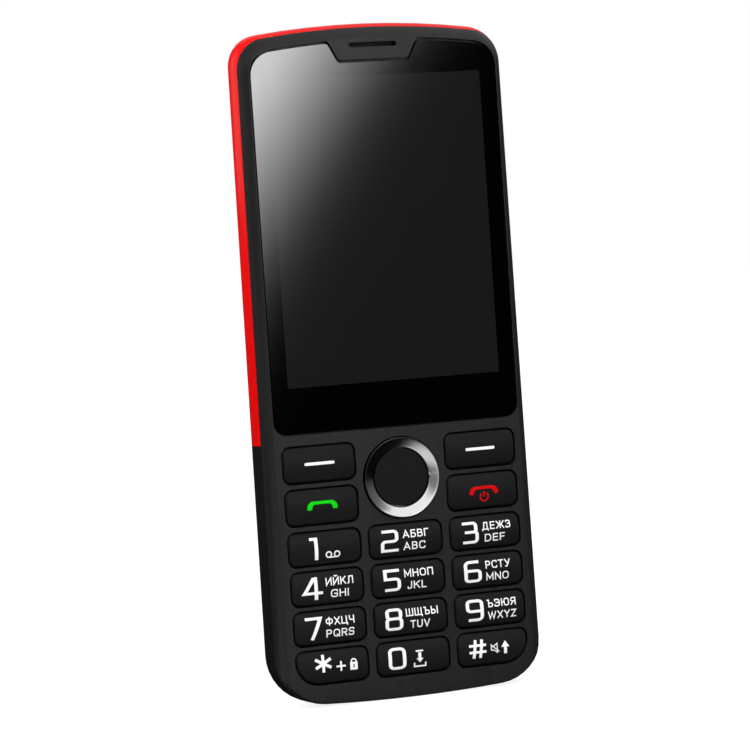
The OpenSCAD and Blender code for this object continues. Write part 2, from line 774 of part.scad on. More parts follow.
module ok_key() {
    color([0.11, 0.11, 0.12]) {
        slab(ok_sink, ok_sink + ok_t) translate([0, nav_z]) circle(nav_r - nav_w - key_gap);
        slab(ok_sink + ok_t, plunger_d) translate([0, nav_z]) circle(plunger_r);
    }
}

// Outline of the silicone mat, with a wall w off the body's side
module mat_shape(w) {
    polygon(flare(outline(hw - w, w, mat_top + mat_side - w, bottom_corner_r - w, key_r, bottom_bow_r,
        straight_bow), side_taper));
}
mat_side = front_wall + 0.2;
mat_top = max(keypad_top, nav_z + nav_r) + key_gap + flange_lip + 2 * seat_gap + mat_rim;

module keypad_mat() {
    color([0.3, 0.3, 0.32]) {
        slab(plate_t, web_d)
            difference() {
                mat_shape(mat_side);
                mat_shape(mat_side + mat_rim);
            }
        slab(web_d, web_d + web_t)
            difference() {
                mat_shape(mat_side);
                for (key = KEYS)
                    translate([key[1], key[2]])
                        circle(plunger_r + seat_gap);
                translate([0, nav_z])
                    circle(nav_r + key_gap + flange_lip + seat_gap);
            }
    }
}

module dome_sheet() {
    color([0.85, 0.83, 0.7])
        slab(dome_sheet_d, board_d)
            mat_shape(mat_side + mat_rim + seat_gap);
}

module metal_domes() {
    places = concat([for (key = KEYS) [key[1], key[2]]], NAV_DOMES);
    color([0.8, 0.8, 0.78])
        for (p = places)
            translate([p.x, front_y + dome_sheet_d, p.y])
                rotate([90, 0, 0])
                    cylinder(h = dome_h, r1 = dome_r, r2 = dome_r / 2);
}

module main_board() {
    color([0.05, 0.3, 0.16])
        slab(board_d, board_back)
            difference() {
                polygon(plan(board_edge));
                at_screws() circle(screw_r + seat_gap);
            }
}

can_x = (can_w + can_space) / 2;
can_z = frame_z - bulkhead_t - seat_gap - can_h / 2;
module shield_cans() {
    color([0.72, 0.73, 0.75])
        for (side = [-1, 1])
            difference() {
                slab(board_back, board_back + can_t)
                    translate([side * can_x, can_z])
                        square([can_w, can_h], center = true);
                slab(board_back - over, board_back + can_t - can_sheet)
                    translate([side * can_x, can_z])
                        square([can_w - 2 * can_sheet, can_h - 2 * can_sheet], center = true);
            }
}

module circuit_chips() {
    color([0.07, 0.07, 0.08])
        for (side = [-1, 1])
            slab(board_back, board_back + chip_t)
                translate([side * can_x, can_z])
                    square([chip_side, chip_side], center = true);
}

// Thin sheet-metal holder, open at one side, with its slot for a card
module card_holder(x, z, w, h) {
    t = card_slot + card_sheet;
    difference() {
        slab(board_back, board_back + t)
            translate([x, z])
                square([w, h], center = true);
        slab(board_back - over, board_back + card_slot)
            translate([x + card_sheet, z])
                square([w, h - 2 * card_sheet], center = true);
    }
}
// Middles of the two subscriber card holders and of the memory card holder above them
function sim_z(i) = battery_z - battery_h / 2 + card_space + sim_h / 2 + i * (sim_h + card_space);
memory_z = sim_z(1) + sim_h / 2 + card_space + memory_h / 2;

module sim_holders() {
    color([0.75, 0.75, 0.76])
        for (i = [0, 1])
            card_holder(0, sim_z(i), sim_w, sim_h);
}

module memory_card_holder() {
    color([0.75, 0.75, 0.76]) card_holder(0, memory_z, memory_w, memory_h);
}

contact_z = battery_z - battery_h / 2 - battery_gap - contact_h / 2;
module battery_contacts() {
    finger_w = contact_w / (2 * contact_count + 1);
    color([0.8, 0.62, 0.25]) {
        slab(board_back, board_back + contact_t)
            translate([0, contact_z])
                square([contact_w, contact_h], center = true);
        for (i = [0:contact_count - 1])
            slab(battery_d + battery_t / 4, board_back + contact_t)
                translate([(i - (contact_count - 1) / 2) * 2 * finger_w, contact_z + battery_gap / 4])
                    square([finger_w, contact_h + battery_gap / 2], center = true);
    }
}

module usb_shape(g) {
    translate([0, front_y + board_back + usb_t / 2])
        even_rect(usb_w + 2 * g, usb_t + 2 * g, usb_r + g);
}
module usb_socket() {
    back = usb_sheet + 0.3;
    color([0.74, 0.75, 0.77]) {
        translate([0, 0, socket_sink])
            difference() {
                linear_extrude(usb_l) usb_shape(0);
                translate([0, 0, -over]) linear_extrude(usb_l - back + over) usb_shape(-usb_sheet);
            }
        translate([0, 0, 2 * socket_sink])
            linear_extrude(usb_l - socket_sink - back / 2)
                translate([0, front_y + board_back + usb_t / 2])
                    square([usb_tongue_w, usb_tongue_t], center = true);
    }
}

jack_y = front_y + board_back + jack_side / 2;
module headphone_socket() {
    color([0.12, 0.12, 0.13])
        translate([socket_x, jack_y, 0])
            difference() {
                union() {
                    translate([-jack_side / 2, -jack_side / 2, jack_up])
                        cube([jack_side, jack_side, socket_sink + jack_l + jack_end - jack_up]);
                    translate([0, 0, socket_sink]) cylinder(h = jack_up - socket_sink + over, r = jack_nose_r);
                }
                translate([0, 0, socket_sink - over]) cylinder(h = jack_l + over, r = jack_r);
            }
}

module microphone() {
    color([0.7, 0.7, 0.71])
        slab(board_back, board_back + mic_t)
            translate([-mic_x, rear_wall + seat_gap + mic_r + lower_rise(mic_x)])
                circle(mic_r);
}
// Rise of the bowed bottom edge at a distance from the middle
function lower_rise(x) = bottom_bow_r - quarter(bottom_bow_r, x);

module vibration_motor() {
    color([0.7, 0.71, 0.73]) slab(board_back, board_back + motor_t) translate([-socket_x, motor_z]) circle(motor_r);
}

speaker_back = body_t - rear_wall - mesh_t;
module loudspeaker() {
    color([0.2, 0.2, 0.21])
        slab(speaker_back - speaker_t, speaker_back)
            translate([0, speaker_z])
                even_rect(speaker_w, speaker_h, 2);
}

module speaker_mesh() {
    color([0.04, 0.04, 0.04])
        slab(speaker_back, speaker_back + mesh_t)
            translate([0, speaker_z])
                even_rect(speaker_w, speaker_h, 2);
}

module camera_module() {
    color([0.1, 0.1, 0.11]) {
        slab(board_back, board_back + camera_t)
            translate([-camera_x, camera_z])
                square([camera_side, camera_side], center = true);
        slab(board_back + camera_t, frame_d + seat_gap)
            translate([-camera_x, camera_z])
                circle(camera_bore_r - seat_gap);
    }
}

window_d = body_t - camera_sink - camera_window_t;
module camera_window() {
    color([0.03, 0.03, 0.04])
        slab(window_d, window_d + camera_window_t)
            translate([0, camera_z])
                stadium(camera_w, camera_h);
}

module torch_led() {
    color([0.95, 0.94, 0.85]) slab(board_back, window_d) translate([camera_x, camera_z]) circle(torch_r);
}

antenna_x = camera_w / 2 + camera_rim + seat_gap + antenna_w / 2;
antenna_z = battery_z + battery_h / 2 + battery_gap + seat_gap + antenna_h / 2;
module antenna() {
    color([0.8, 0.62, 0.25])
        slab(frame_d, frame_d + antenna_t)
            translate([antenna_x, antenna_z])
                square([antenna_w, antenna_h], center = true);
}

// Rear frame: the lower shell is the phone's skin, the upper part lies under the rear cover
frame_skin = cover_t + cover_gap;
module frame_body() {
    lower = back_depths(seam_d);
    upper = until(back_depths(seam_d, frame_skin), frame_d);
    intersection() {
        loft([for (d = lower) skin(d)], lower);
        below(frame_z);
    }
    intersection() {
        loft([for (d = upper) section(d, frame_skin)], upper);
        above(frame_z - bulkhead_t / 2);
    }
    slab(frame_d - over, body_t - camera_sink)
        translate([0, camera_z])
            stadium(camera_w + 2 * camera_rim, camera_h + 2 * camera_rim);
}

module frame_hollows() {
    hollow = back_depths(seam_d - over, rear_wall);
    intersection() {
        loft([for (d = hollow) section(d, rear_wall)], hollow);
        below(frame_z - bulkhead_t);
    }
    slab(seam_d - over, tray_d) polygon(plan(frame_skin + frame_wall));
    slab(seam_d - over, web_d + web_t + run_gap) mat_shape(front_wall);
    slab(tray_back, body_t)
        translate([0, battery_z])
            even_rect(battery_w + 2 * battery_gap, battery_h + 2 * battery_gap, battery_r + battery_gap);
}

module frame_windows() {
    slab(tray_d - over, tray_back + over) {
        for (i = [0, 1])
            translate([0, sim_z(i)])
                square([sim_w + 2 * seat_gap, sim_h + 2 * seat_gap], center = true);
        translate([0, memory_z])
            square([memory_w + 2 * seat_gap, memory_h + 2 * seat_gap], center = true);
    }
    slab(tray_d - over, body_t)
        translate([0, contact_z + battery_gap / 2])
            square([contact_w + 2 * seat_gap, contact_h + battery_gap + 2 * seat_gap], center = true);
    slab(tray_d - over, board_back + camera_t + seat_gap)
        translate([-camera_x, camera_z])
            square([camera_side + 2 * seat_gap, camera_side + 2 * seat_gap], center = true);
    slab(tray_d - over, body_t) {
        translate([-camera_x, camera_z]) circle(camera_bore_r);
        translate([camera_x, camera_z]) circle(torch_r + seat_gap / 2);
    }
    slab(window_d, body_t) translate([0, camera_z]) stadium(camera_w + seat_gap, camera_h + seat_gap);
    slab(tray_back, body_t) at_screws() circle(screw_head_r + seat_gap);
    for (i = [0:slot_count - 1])
        slab(speaker_back - over, body_t + over)
            translate([0, speaker_z + (i - (slot_count - 1) / 2) * slot_pitch])
                stadium(slot_w, slot_h);
    translate([0, 0, -over]) linear_extrude(socket_sink + usb_l + over) usb_shape(seat_gap);
    translate([socket_x, jack_y, -over]) cylinder(h = jack_up + over, r = jack_nose_r + seat_gap);
    translate([-mic_x, front_y + board_back + mic_t / 2, -over])
        cylinder(h = over + lower_rise(mic_x) + rear_wall + over, r = mic_hole_r);
}

module rear_frame() {
    color([0.12, 0.12, 0.13])
        difference() {
            union() {
                difference() {
                    frame_body();
                    frame_hollows();
                }
                slab(board_back, tray_d + tray_t / 2) at_screws() circle(boss_r);
            }
            frame_windows();
            slab(board_back - over, body_t) at_screws() circle(screw_r + screw_gap);
        }
}

module rear_cover() {
    outer = back_depths(seam_d + part_gap);
    inner = back_depths(seam_d - over, cover_t);
    color([0.85, 0.04, 0.04])
        difference() {
            intersection() {
                loft([for (d = outer) skin(d)], outer);
                above(cover_z);
            }
            loft([for (d = inner) section(d, cover_t)], inner);
            slab(cover_in_d - over, body_t + over)
                translate([0, camera_z])
                    stadium(camera_w + 2 * (camera_rim + cover_gap), camera_h + 2 * (camera_rim + cover_gap));
        }
}

module battery() {
    color([0.2, 0.21, 0.24])
        slab(battery_d, battery_back)
            translate([0, battery_z])
                even_rect(battery_w, battery_h, battery_r);
}

module housing_screws() {
    color([0.5, 0.5, 0.52]) {
        slab(tray_back, tray_back + screw_head_t) at_screws() circle(screw_head_r);
        slab(seam_d + screw_head_t / 2, tray_back) at_screws() circle(screw_r);
    }
}

front_housing();
display_lens();
lens_adhesive();
display_panel();
backlight_frame();
display_cable();
earpiece_mesh();
earpiece_receiver();
for (key = KEYS)
    key_cap(key);
nav_ring();
nav_carrier();
ok_key();
keypad_mat();
dome_sheet();
metal_domes();
main_board();
shield_cans();
circuit_chips();
sim_holders();
memory_card_holder();
battery_contacts();
usb_socket();
headphone_socket();
microphone();
vibration_motor();
loudspeaker();
speaker_mesh();
camera_module();
camera_window();
torch_led();
antenna();
rear_frame();
rear_cover();
battery();
housing_screws();
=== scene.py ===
"""Looks of a bar-shaped feature phone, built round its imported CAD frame."""
import math

import bpy
from mathutils import Matrix, Vector
from mathutils.geometry import delaunay_2d_cdt


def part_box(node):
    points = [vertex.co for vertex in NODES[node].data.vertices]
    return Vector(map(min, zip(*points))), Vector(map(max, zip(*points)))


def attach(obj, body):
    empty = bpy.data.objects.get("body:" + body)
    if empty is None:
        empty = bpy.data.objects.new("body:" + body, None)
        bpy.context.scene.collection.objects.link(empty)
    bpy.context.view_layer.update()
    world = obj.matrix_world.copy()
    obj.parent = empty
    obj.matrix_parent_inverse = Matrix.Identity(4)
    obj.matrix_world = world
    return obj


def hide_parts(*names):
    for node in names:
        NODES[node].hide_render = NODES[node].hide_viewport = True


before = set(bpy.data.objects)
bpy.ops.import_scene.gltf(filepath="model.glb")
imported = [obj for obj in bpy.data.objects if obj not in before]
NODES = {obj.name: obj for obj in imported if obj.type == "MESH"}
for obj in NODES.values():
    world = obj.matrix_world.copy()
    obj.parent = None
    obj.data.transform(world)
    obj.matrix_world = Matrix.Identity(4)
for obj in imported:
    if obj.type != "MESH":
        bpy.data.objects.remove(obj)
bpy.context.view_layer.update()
MM = 0.001
LENS_SUNK = 0.05
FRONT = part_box("display_lens")[0][1] - LENS_SUNK * MM
SCENE = bpy.context.scene


# Materials

def node_tree(name):
    material = bpy.data.materials.new(name)
    material.use_nodes = True
    tree = material.node_tree
    return material, tree.nodes, tree.links, tree.nodes["Principled BSDF"]


def mapped(nodes, links, scale):
    """Object coordinates times a scale, or one per axis, so that a texture keeps its place on the part."""
    where = nodes.new("ShaderNodeTexCoord")
    mapping = nodes.new("ShaderNodeMapping")
    mapping.inputs["Scale"].default_value = scale if isinstance(scale, tuple) else (scale,) * 3
    links.new(where.outputs["Object"], mapping.inputs["Vector"])
    return mapping.outputs["Vector"]


def noise(nodes, links, scale, detail=3.0, roughness=0.55):
    texture = nodes.new("ShaderNodeTexNoise")
    texture.inputs["Scale"].default_value = 1.0
    texture.inputs["Detail"].default_value = detail
    texture.inputs["Roughness"].default_value = roughness
    links.new(mapped(nodes, links, scale), texture.inputs["Vector"])
    return texture.outputs["Fac"]


def spread(nodes, links, value, low, high, socket):
    """Sends the middle span of a noise to a socket as low to high."""
    remap = nodes.new("ShaderNodeMapRange")
    remap.inputs["From Min"].default_value = 0.3
    remap.inputs["From Max"].default_value = 0.7
    remap.inputs["To Min"].default_value = low
    remap.inputs["To Max"].default_value = high
    links.new(value, remap.inputs["Value"])
    links.new(remap.outputs["Result"], socket)


def surface(name, colour, rough, tone=0.08, grain=900, cloud=60, bump=0.05, depth=0.02, rough_tone=0.05,
            share=0.4, **sockets):
    """Plain material with a soft change of tone, a grain in its roughness and a fine relief."""
    material, nodes, links, shader = node_tree(name)
    for key, value in sockets.items():
        shader.inputs[key.replace("_", " ").title().replace("Ior", "IOR")].default_value = value
    fine = noise(nodes, links, grain)
    broad = noise(nodes, links, cloud, 2.0)
    mix = nodes.new("ShaderNodeMix")
    mix.data_type = "RGBA"
    mix.inputs["A"].default_value = (*[c * (1 - tone) for c in colour], 1)
    mix.inputs["B"].default_value = (*[min(1, c * (1 + tone)) for c in colour], 1)
    blend = nodes.new("ShaderNodeMath")
    blend.operation = "MULTIPLY_ADD"
    links.new(broad, blend.inputs[0])
    blend.inputs[1].default_value = 1 - share
    half = nodes.new("ShaderNodeMath")
    half.operation = "MULTIPLY"
    links.new(fine, half.inputs[0])
    half.inputs[1].default_value = share
    links.new(half.outputs[0], blend.inputs[2])
    links.new(blend.outputs[0], mix.inputs["Factor"])
    links.new(mix.outputs["Result"], shader.inputs["Base Color"])
    spread(nodes, links, fine, rough - rough_tone, rough + rough_tone, shader.inputs["Roughness"])
    if bump:
        relief = nodes.new("ShaderNodeBump")
        relief.inputs["Strength"].default_value = bump
        relief.inputs["Distance"].default_value = depth * MM
        links.new(fine, relief.inputs["Height"])
        links.new(relief.outputs["Normal"], shader.inputs["Normal"])
    return material


# Painted shade: radii in millimetres at which the ring's colour darkens towards its bore and its edge, with their
# levels
RIM_PAINTED_SHADE = ((5.72, 0.06), (5.8, 1), (7.42, 1), (7.5, 0.1))


def ring_metal(name, colour, rough):
    """Turned metal: fine lines round the ring's own axis, with painted shade that darkens its colour at the bore
    and the outer edge.
    """
    material, nodes, links, shader = node_tree(name)
    shader.inputs["Metallic"].default_value = 1.0
    shader.inputs["Anisotropic"].default_value = 0.2
    low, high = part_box("nav_ring")
    where = nodes.new("ShaderNodeTexCoord")
    offset = nodes.new("ShaderNodeVectorMath")
    offset.operation = "SUBTRACT"
    offset.inputs[1].default_value = ((low[0] + high[0]) / 2, 0, (low[2] + high[2]) / 2)
    links.new(where.outputs["Object"], offset.inputs[0])
    flat = nodes.new("ShaderNodeVectorMath")
    flat.operation = "MULTIPLY"
    flat.inputs[1].default_value = (1, 0, 1)
    links.new(offset.outputs["Vector"], flat.inputs[0])
    radius = nodes.new("ShaderNodeVectorMath")
    radius.operation = "LENGTH"
    links.new(flat.outputs["Vector"], radius.inputs[0])
    lines = nodes.new("ShaderNodeTexNoise")
    lines.noise_dimensions = "1D"
    lines.inputs["Scale"].default_value = 9000
    lines.inputs["Detail"].default_value = 2
    links.new(radius.outputs["Value"], lines.inputs["W"])
    mix = nodes.new("ShaderNodeMix")
    mix.data_type = "RGBA"
    mix.inputs["A"].default_value = (*[c * 0.94 for c in colour], 1)
    mix.inputs["B"].default_value = (*colour, 1)
    links.new(lines.outputs["Fac"], mix.inputs["Factor"])
    # Painted shade: the ring's colour is multiplied down near its bore and its outer edge
    rims = nodes.new("ShaderNodeValToRGB")
    span = 10 * MM
    elements = rims.color_ramp.elements
    for k, (radius_mm, level) in enumerate(RIM_PAINTED_SHADE):
        place = radius_mm * MM / span
        stop = elements[k] if k < 2 else elements.new(place)
        stop.position, stop.color = place, (level, level, level, 1)
    part = nodes.new("ShaderNodeMath")
    part.operation = "MULTIPLY"
    part.inputs[1].default_value = 1 / span
    links.new(radius.outputs["Value"], part.inputs[0])
    links.new(part.outputs[0], rims.inputs["Fac"])
    rim_shade_painted = nodes.new("ShaderNodeMix")
    rim_shade_painted.data_type = "RGBA"
    rim_shade_painted.blend_type = "MULTIPLY"
    rim_shade_painted.inputs["Factor"].default_value = 1.0
    links.new(mix.outputs["Result"], rim_shade_painted.inputs["A"])
    links.new(rims.outputs["Color"], rim_shade_painted.inputs["B"])
    links.new(rim_shade_painted.outputs["Result"], shader.inputs["Base Color"])
    spread(nodes, links, lines.outputs["Fac"], rough - 0.04, rough + 0.04, shader.inputs["Roughness"])
    tangent = nodes.new("ShaderNodeTangent")
    tangent.direction_type = "RADIAL"
    tangent.axis = "Y"
    links.new(tangent.outputs["Tangent"], shader.inputs["Tangent"])
    relief = nodes.new("ShaderNodeBump")
    relief.inputs["Strength"].default_value = 0.08
    relief.inputs["Distance"].default_value = 0.01 * MM
    links.new(lines.outputs["Fac"], relief.inputs["Height"])
    links.new(relief.outputs["Normal"], shader.inputs["Normal"])
    return material


HAIRLINES = (2600, 2600, 40)
housing_mat = surface("housing_black", (0.012, 0.012, 0.0123), 0.38, tone=0.6, grain=HAIRLINES, bump=0.06,
                      depth=0.01, share=0.9, specular_ior_level=0.25)
frame_mat = surface("frame_black", (0.0075, 0.0075, 0.0078), 0.45, grain=2600, bump=0.08,
                    specular_ior_level=0.05)
cover_mat = surface("cover_red", (0.72, 0.002, 0.002), 0.22, tone=0.05, grain=1500, bump=0.02,
                    specular_ior_level=0.14)
key_mat = surface("key_black", (0.0098, 0.0098, 0.0101), 0.4, tone=0.12, grain=3200, specular_ior_level=0.06)
ok_mat = surface("ok_black", (0.007, 0.007, 0.0073), 0.42, tone=0.12, grain=3200, specular_ior_level=0.1)
border_mat = surface("lens_border", (0.0005, 0.0005, 0.0006), 0.06, tone=0.2, grain=300, bump=0,
                     rough_tone=0.01, ior=1.5)
screen_mat = surface("display_screen", (0.0095, 0.0095, 0.0098), 0.06, tone=0.06, grain=9000, bump=0,
                     rough_tone=0.01, ior=1.5)
ring_mat = ring_metal("ring_silver", (0.83, 0.83, 0.84), 0.14)
white_mat = surface("legend_white", (0.93, 0.93, 0.93), 0.5, tone=0.03, grain=2500, bump=0,
                    specular_ior_level=0.2)
green_mat = surface("legend_green", (0.006, 0.65, 0.009), 0.5, tone=0.05, grain=2500, bump=0,
                    specular_ior_level=0.05)
red_mat = surface("legend_red", (0.6, 0.003, 0.004), 0.5, tone=0.05, grain=2500, bump=0,
                  specular_ior_level=0.05)
mesh_mat = surface("mesh_black", (0.006, 0.006, 0.006), 0.7, tone=0.6, grain=6000, bump=0.4, depth=0.05)
steel_mat = surface("sheet_steel", (0.55, 0.56, 0.58), 0.3, grain=(300, 6000, 6000), metallic=1.0)
alu_mat = surface("plain_aluminium", (0.6, 0.61, 0.62), 0.36, grain=(4000, 400, 4000), metallic=1.0)
gold_mat = surface("contact_gold", (0.78, 0.53, 0.19), 0.28, grain=3000, bump=0.04, metallic=1.0)
board_mat = surface("board_green", (0.012, 0.1, 0.04), 0.38, tone=0.3, grain=700, bump=0.1)
part_mat = surface("part_black", (0.012, 0.012, 0.012), 0.5, tone=0.2, grain=2500, bump=0.08)
film_mat = surface("film_amber", (0.48, 0.2, 0.03), 0.35, tone=0.15, grain=(400, 400, 2500))
clear_mat = surface("film_milky", (0.66, 0.62, 0.46), 0.45, tone=0.06, bump=0.03)
rubber_mat = surface("silicone", (0.08, 0.08, 0.088), 0.62, tone=0.1, grain=1800, bump=0.1)
battery_mat = surface("battery_label", (0.034, 0.037, 0.047), 0.5, grain=2200, bump=0.06)
paper_mat = surface("label_paper", (0.5, 0.51, 0.53), 0.5, tone=0.06, grain=1500, bump=0.03)
lamp_mat = surface("light_guide", (0.83, 0.78, 0.56), 0.2, grain=3000, bump=0.1, coat_weight=0.5)
chrome_mat = surface("bezel_grey", (0.26, 0.26, 0.27), 0.3, tone=0.1, grain=4000, bump=0.02, metallic=0.3)
pupil_mat = surface("camera_pupil", (0.008, 0.012, 0.05), 0.05, tone=0.3, bump=0, rough_tone=0.02,
                    coat_weight=1.0)
glass_mat = surface("camera_glass", (0.004, 0.004, 0.006), 0.06, tone=0.2, bump=0, rough_tone=0.02,
                    specular_ior_level=0.25)

CAD_SHARP = 24
CAD_LOOKS = {
    housing_mat: ["front_housing"],
    frame_mat: ["rear_frame"],
    cover_mat: ["rear_cover"],
    ok_mat: ["ok_key"],
    mesh_mat: ["earpiece_mesh", "speaker_mesh", "lens_adhesive"],
    steel_mat: ["nav_carrier", "metal_domes", "shield_cans", "sim_holders", "memory_card_holder",
                "usb_socket", "earpiece_receiver", "vibration_motor", "housing_screws"],
    alu_mat: ["backlight_frame", "microphone"],
    gold_mat: ["battery_contacts", "antenna"],
    board_mat: ["main_board"],
    part_mat: ["circuit_chips", "headphone_socket", "loudspeaker", "camera_module", "display_panel"],
    film_mat: ["display_cable"],
    clear_mat: ["dome_sheet"],
    rubber_mat: ["keypad_mat"],
    battery_mat: ["battery"],
    lamp_mat: ["torch_led"],
    glass_mat: ["camera_window"],
}
for material, names in CAD_LOOKS.items():
    for name in names:
        mesh = NODES[name].data
        mesh.materials.clear()
        mesh.materials.append(material)
        mesh.polygons.foreach_set("use_smooth", [True] * len(mesh.polygons))
        mesh.set_sharp_from_angle(angle=math.radians(CAD_SHARP))


# Meshes

def new_piece(name, verts, faces, material, body, slot, smooth=30):
    mesh = bpy.data.meshes.new(name)
    mesh.from_pydata(verts, [], faces)
    mesh.update()
    mesh.materials.append(material)
    if smooth:
        mesh.polygons.foreach_set("use_smooth", [True] * len(mesh.polygons))
        mesh.set_sharp_from_angle(angle=math.radians(smooth))
    piece = bpy.data.objects.new(name, mesh)
    SCENE.collection.objects.link(piece)
    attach(piece, body)
    return piece


def arc(cx, cz, r, start, end, steps):
    return [(cx + r * math.cos(math.radians(start + (end - start) * i / steps)),
             cz + r * math.sin(math.radians(start + (end - start) * i / steps))) for i in range(steps + 1)]


def between(a, b, steps):
    """Points between two points, without the ends."""
    return [(a[0] + (b[0] - a[0]) * i / steps, a[1] + (b[1] - a[1]) * i / steps) for i in range(1, steps)]


HALF_SIDE, BIG_CORNER, BIG_SHARE, LEAST_R = 0.495, 2.5, 0.74, 0.01


def round_rect(cx, cz, w, h, radii, corner=8, along=12, up=6):
    """Rectangle with radii from the lower left corner round to the right, always with as many points.
    A corner takes up to half the short side, and a big one more."""
    short = min(w, h)
    r = [max(LEAST_R, min(a, (HALF_SIDE if a < BIG_CORNER else BIG_SHARE) * short)) for a in radii]
    x, z = w / 2, h / 2
    corners = [
        arc(cx - x + r[0], cz - z + r[0], r[0], 180, 270, corner),
        arc(cx + x - r[1], cz - z + r[1], r[1], 270, 360, corner),
        arc(cx + x - r[2], cz + z - r[2], r[2], 0, 90, corner),
        arc(cx - x + r[3], cz + z - r[3], r[3], 90, 180, corner),
    ]
    points = []
    for i, run in enumerate(corners):
        points += run + between(run[-1], corners[(i + 1) % 4][0], along if i % 2 == 0 else up)
    return points


def stack(rings):
    """Closed solid through rings of (x, y, z) points in millimetres, first ring at the front."""
    n = len(rings[0])
    verts = [tuple(c * MM for c in point) for ring in rings for point in ring]
    faces = [tuple(reversed(range(n)))]
    for k in range(len(rings) - 1):
        for i in range(n):
            a, b = k * n + i, k * n + (i + 1) % n
            faces.append((a, b, b + n, a + n))
    faces.append(tuple((len(rings) - 1) * n + i for i in range(n)))
    return verts, faces


def join(*parts):
    verts, faces = [], []
    for some_verts, some_faces in parts:
        faces += [tuple(i + len(verts) for i in face) for face in some_faces]
        verts += some_verts
    return verts, faces


SAME_POINT = 1e-6


def plate(loops, holes, front, back, lines=()):
    """Closed thin solid of the area inside any loop and outside every hole, in millimetres.
    front and back give the depth at (x, z); lines are extra heights at which the faces are cut."""
    points, edges = [], []
    for loop in loops + holes:
        n = len(points)
        edges += [(n + i, n + (i + 1) % len(loop)) for i in range(len(loop))]
        points += loop
    xs = [p[0] for p in points]
    zs = [p[1] for p in points]
    for z in lines:
        if min(zs) < z < max(zs):
            edges.append((len(points), len(points) + 1))
            points += [(min(xs) - 0.01, z), (max(xs) + 0.01, z)]
    out, _, tris, _, _, _ = delaunay_2d_cdt([Vector(p) for p in points], edges, [], 0, SAME_POINT)
    boxes = [(*map(min, zip(*loop)), *map(max, zip(*loop)), loop) for loop in loops]
    keep = []
    for t in tris:
        x, z = sum(out[i][0] for i in t) / 3, sum(out[i][1] for i in t) / 3
        if any(a < x < c and b < z < d and inside(x, z, loop) for a, b, c, d, loop in boxes) and \
                not any(inside(x, z, hole) for hole in holes):
            keep.append(t)
    used = sorted({i for t in keep for i in t})
    place = {i: k for k, i in enumerate(used)}
    flat = [(out[i][0], out[i][1]) for i in used]
    return thicken(flat, [tuple(place[i] for i in t) for t in keep], front, back)


def inside(x, z, loop):
    result = False
    for (ax, az), (bx, bz) in zip(loop, loop[1:] + loop[:1]):
        if (az > z) != (bz > z) and x < ax + (z - az) / (bz - az) * (bx - ax):
            result = not result
    return result


def thicken(flat, tris, front, back):
    """Closed thin solid over flat triangles."""
    n = len(flat)
    verts = [(x * MM, depth(x, z) * MM, z * MM) for depth in (front, back) for x, z in flat]
    faces, border = [], set()
    for a, b, c in tris:
        (ax, az), (bx, bz), (cx, cz) = flat[a], flat[b], flat[c]
        if (bx - ax) * (cz - az) < (cx - ax) * (bz - az):
            b, c = c, b
        faces += [(a, b, c), (n + a, n + c, n + b)]
        border |= {(a, b), (b, c), (c, a)}
    faces += [(b, a, n + a, n + b) for a, b in border if (b, a) not in border]
    return verts, faces


# Keys: a pillow-shaped cap on the CAD key's flange and plunger

F = FRONT / MM
KEY_NAMES = ["key_%d" % i for i in range(1, 10)] + [
    "key_star", "key_0", "key_hash", "call_key", "end_key", "soft_key_left", "soft_key_right"]
REACH = 0.40
CROWN, FALL_Z, FALL_X, EDGE_R = 0.30, 0.56, 0.10, 0.42
CORNER_R, OUTER_CORNER_R = 1.5, 4.5
FLANGE_FRONT, FLANGE_BACK = 1.9, 2.3
PLUNGER_R, PLUNGER_ENDS = 1.2, (2.2, 3.4)
# Steps inwards from a cap's side: over its face, then round its edge
INSETS = [2.9, 2.5, 2.1, 1.7, 1.35, 1.0, 0.7, 0.48]
INSETS += [EDGE_R * (1 - math.sin(math.radians(a))) for a in range(0, 91, 15)]


def middle(low, high):
    """Middle of a box as seen from the front, in millimetres."""
    return (low[0] + high[0]) / 2 / MM, (low[2] + high[2]) / 2 / MM


def key_size(name):
    """Middle, width and height of a key's cap."""
    low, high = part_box(name)
    return *middle(low, high), (high[0] - low[0]) / MM - 2 * REACH, (high[2] - low[2]) / MM - 2 * REACH


def key_face(name):
    """Depth of a key's crowned face at (x, z)."""
    cx, cz, w, h = key_size(name)
    return lambda x, z: (F - CROWN + FALL_Z * ((z - cz) / (h / 2)) ** 2
                         + FALL_X * ((x - cx) / (w / 2)) ** 2)


def key_radii(name):
    """Corner radii from the lower left; the two keys in the phone's corners have a big one."""
    left = OUTER_CORNER_R if name == "key_star" else CORNER_R
    right = OUTER_CORNER_R if name == "key_hash" else CORNER_R
    return [left, right, CORNER_R, CORNER_R]


def key_cap(name):
    cx, cz, w, h = key_size(name)
    radii = key_radii(name)
    face = key_face(name)
    rings = []
    for inset in INSETS:
        fall = EDGE_R - math.sqrt(max(0, EDGE_R ** 2 - max(0, EDGE_R - inset) ** 2))
        ring = round_rect(cx, cz, w - 2 * inset, h - 2 * inset, [r - inset for r in radii])
        rings.append([(x, face(x, z) + fall, z) for x, z in ring])
    for grow, depth in ((0, FLANGE_FRONT), (REACH, FLANGE_FRONT), (REACH, FLANGE_BACK)):
        ring = round_rect(cx, cz, w + 2 * grow, h + 2 * grow, [r + grow for r in radii])
        rings.append([(x, F + depth, z) for x, z in ring])
    foot = arc(cx, cz, PLUNGER_R, 0, 360, 32)[:-1]
    plunger = [[(x, F + depth, z) for x, z in foot] for depth in PLUNGER_ENDS]
    verts, faces = join(stack(rings), stack(plunger))
    piece = new_piece(name + "_cap", verts, faces, key_mat, name, "key_black", smooth=40)
    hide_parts(name)


for key in KEY_NAMES:
    key_cap(key)


# Legends: thin printed shapes that lie on the crowned faces

